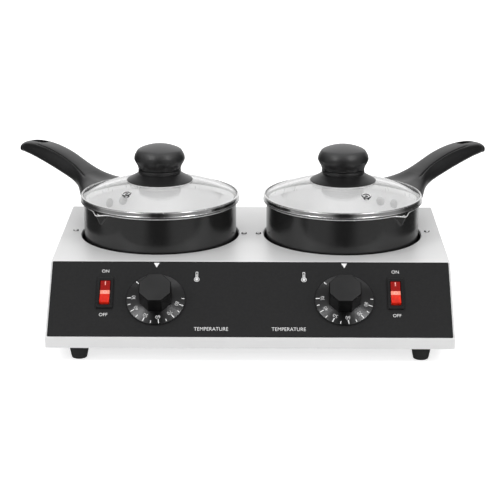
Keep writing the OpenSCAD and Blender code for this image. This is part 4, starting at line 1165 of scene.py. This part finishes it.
# Brightness of the walls round the set by the turn from the left: front at a quarter, back at three quarters
WALLS = [(0.0, 0.45), (0.03, 0.48), (0.185, 0.48), (0.222, 0.02), (0.278, 0.02), (0.315, 0.48), (0.47, 0.48),
         (0.53, 0.06), (0.63, 0.06), (0.675, 1.0), (0.81, 1.0), (0.86, 0.06), (0.97, 0.06), (1.0, 0.45)]
CEILING, CEILING_FROM, CEILING_TO = 0.2, 0.8, 0.95
FLOOR_GLOW = 0.66
LAMP_AIM = Vector((0, 0, 0.08))


def wall_brightness(tree):
    """Pale walls with a dark gap where the camera stands and one at each side, under a grey ceiling."""
    place = node(tree, "TexCoord").outputs["Generated"]
    turn = node(tree, "TexGradient", {"Vector": place}, gradient_type="RADIAL")
    walls = node(tree, "ValToRGB", {"Fac": turn.outputs["Fac"]})
    stops = walls.color_ramp.elements
    while len(stops) < len(WALLS):
        stops.new(0.5)
    for stop, (where, level) in zip(stops, WALLS):
        stop.position, stop.color = where, (*grey(level), 1)
    split = node(tree, "SeparateXYZ", {"Vector": place})
    span = {"Value": split.outputs["Z"], "From Min": CEILING_FROM, "From Max": CEILING_TO}
    height = node(tree, "MapRange", span)
    return mixed(tree, height.outputs["Result"], walls.outputs["Color"], (*grey(CEILING), 1))


def background(tree, strength, colour=(1, 1, 1, 1)):
    return node(tree, "Background", {"Color": colour, "Strength": strength}).outputs["Background"]


def make_world():
    """White to the eye and through glass, the set's walls in mirrors, and an even grey as a light."""
    world = bpy.data.worlds.new("studio")
    bpy.context.scene.world = world
    world.use_nodes = True
    tree = world.node_tree
    tree.nodes.clear()
    rays = node(tree, "LightPath").outputs
    gloss = node(tree, "MixShader", {"Fac": rays["Is Glossy Ray"], 1: background(tree, DAYLIGHT),
                                     2: background(tree, 1.0, wall_brightness(tree))})
    mix = node(tree, "MixShader", {"Fac": either(tree, rays["Is Camera Ray"], rays["Is Transmission Ray"]),
                                   1: gloss.outputs["Shader"], 2: background(tree, 1.0)})
    node(tree, "OutputWorld", {"Surface": mix.outputs["Shader"]})


def make_lamp(name, place, size, power, mirrored=True):
    data = bpy.data.lights.new(name, "AREA")
    data.shape = "RECTANGLE"
    data.size, data.size_y = size
    data.energy = power
    lamp = in_scene(name, data)
    lamp.location = place
    lamp.rotation_mode = "QUATERNION"
    lamp.rotation_quaternion = (LAMP_AIM - Vector(place)).to_track_quat("-Z", "Y")
    lamp.visible_glossy = mirrored


def make_lamps():
    make_lamp("overhead_box", (-0.1, 0.2, 1.5), (1.4, 0.3), 3.5, mirrored=False)
    make_lamp("left_box", (-0.95, -1.0, 1.15), (0.5, 0.5), 5)
    make_lamp("right_box", (0.95, -1.0, 1.15), (0.5, 0.5), 5)
    make_lamp("front_fill", (0, -2.1, 1.0), (1.2, 0.5), 10, mirrored=False)


def make_floor():
    """A pale floor that is plain white to the eye away from the shadow."""
    bm = bmesh.new()
    bmesh.ops.create_grid(bm, x_segments=1, y_segments=1, size=20)
    floor = in_scene("floor", mesh_of(bm, "floor"))
    material, tree, shader = plain_finish("pale_floor", grey(0.86), roughness=0.9, specular=0.1,
                                          Emission_Color=(1, 1, 1, 1))
    seen = node(tree, "LightPath").outputs["Is Camera Ray"]
    glow = node(tree, "Math", {0: seen, 1: FLOOR_GLOW}, operation="MULTIPLY")
    tree.links.new(glow.outputs[0], shader.inputs["Emission Strength"])
    floor.data.materials.append(material)
    floor.visible_glossy = False


bpy.context.scene.view_settings.view_transform = "Standard"
make_world()
make_lamps()
make_floor()
make_camera()
make_housing()
make_fascia()
make_prints()
make_feet()
make_deck_screws()
for side in SIDES:
    make_well(side)
    make_dial(side)
    make_switch(side)
    make_pan(side)
    make_lid(side)
refinish_hidden_parts()
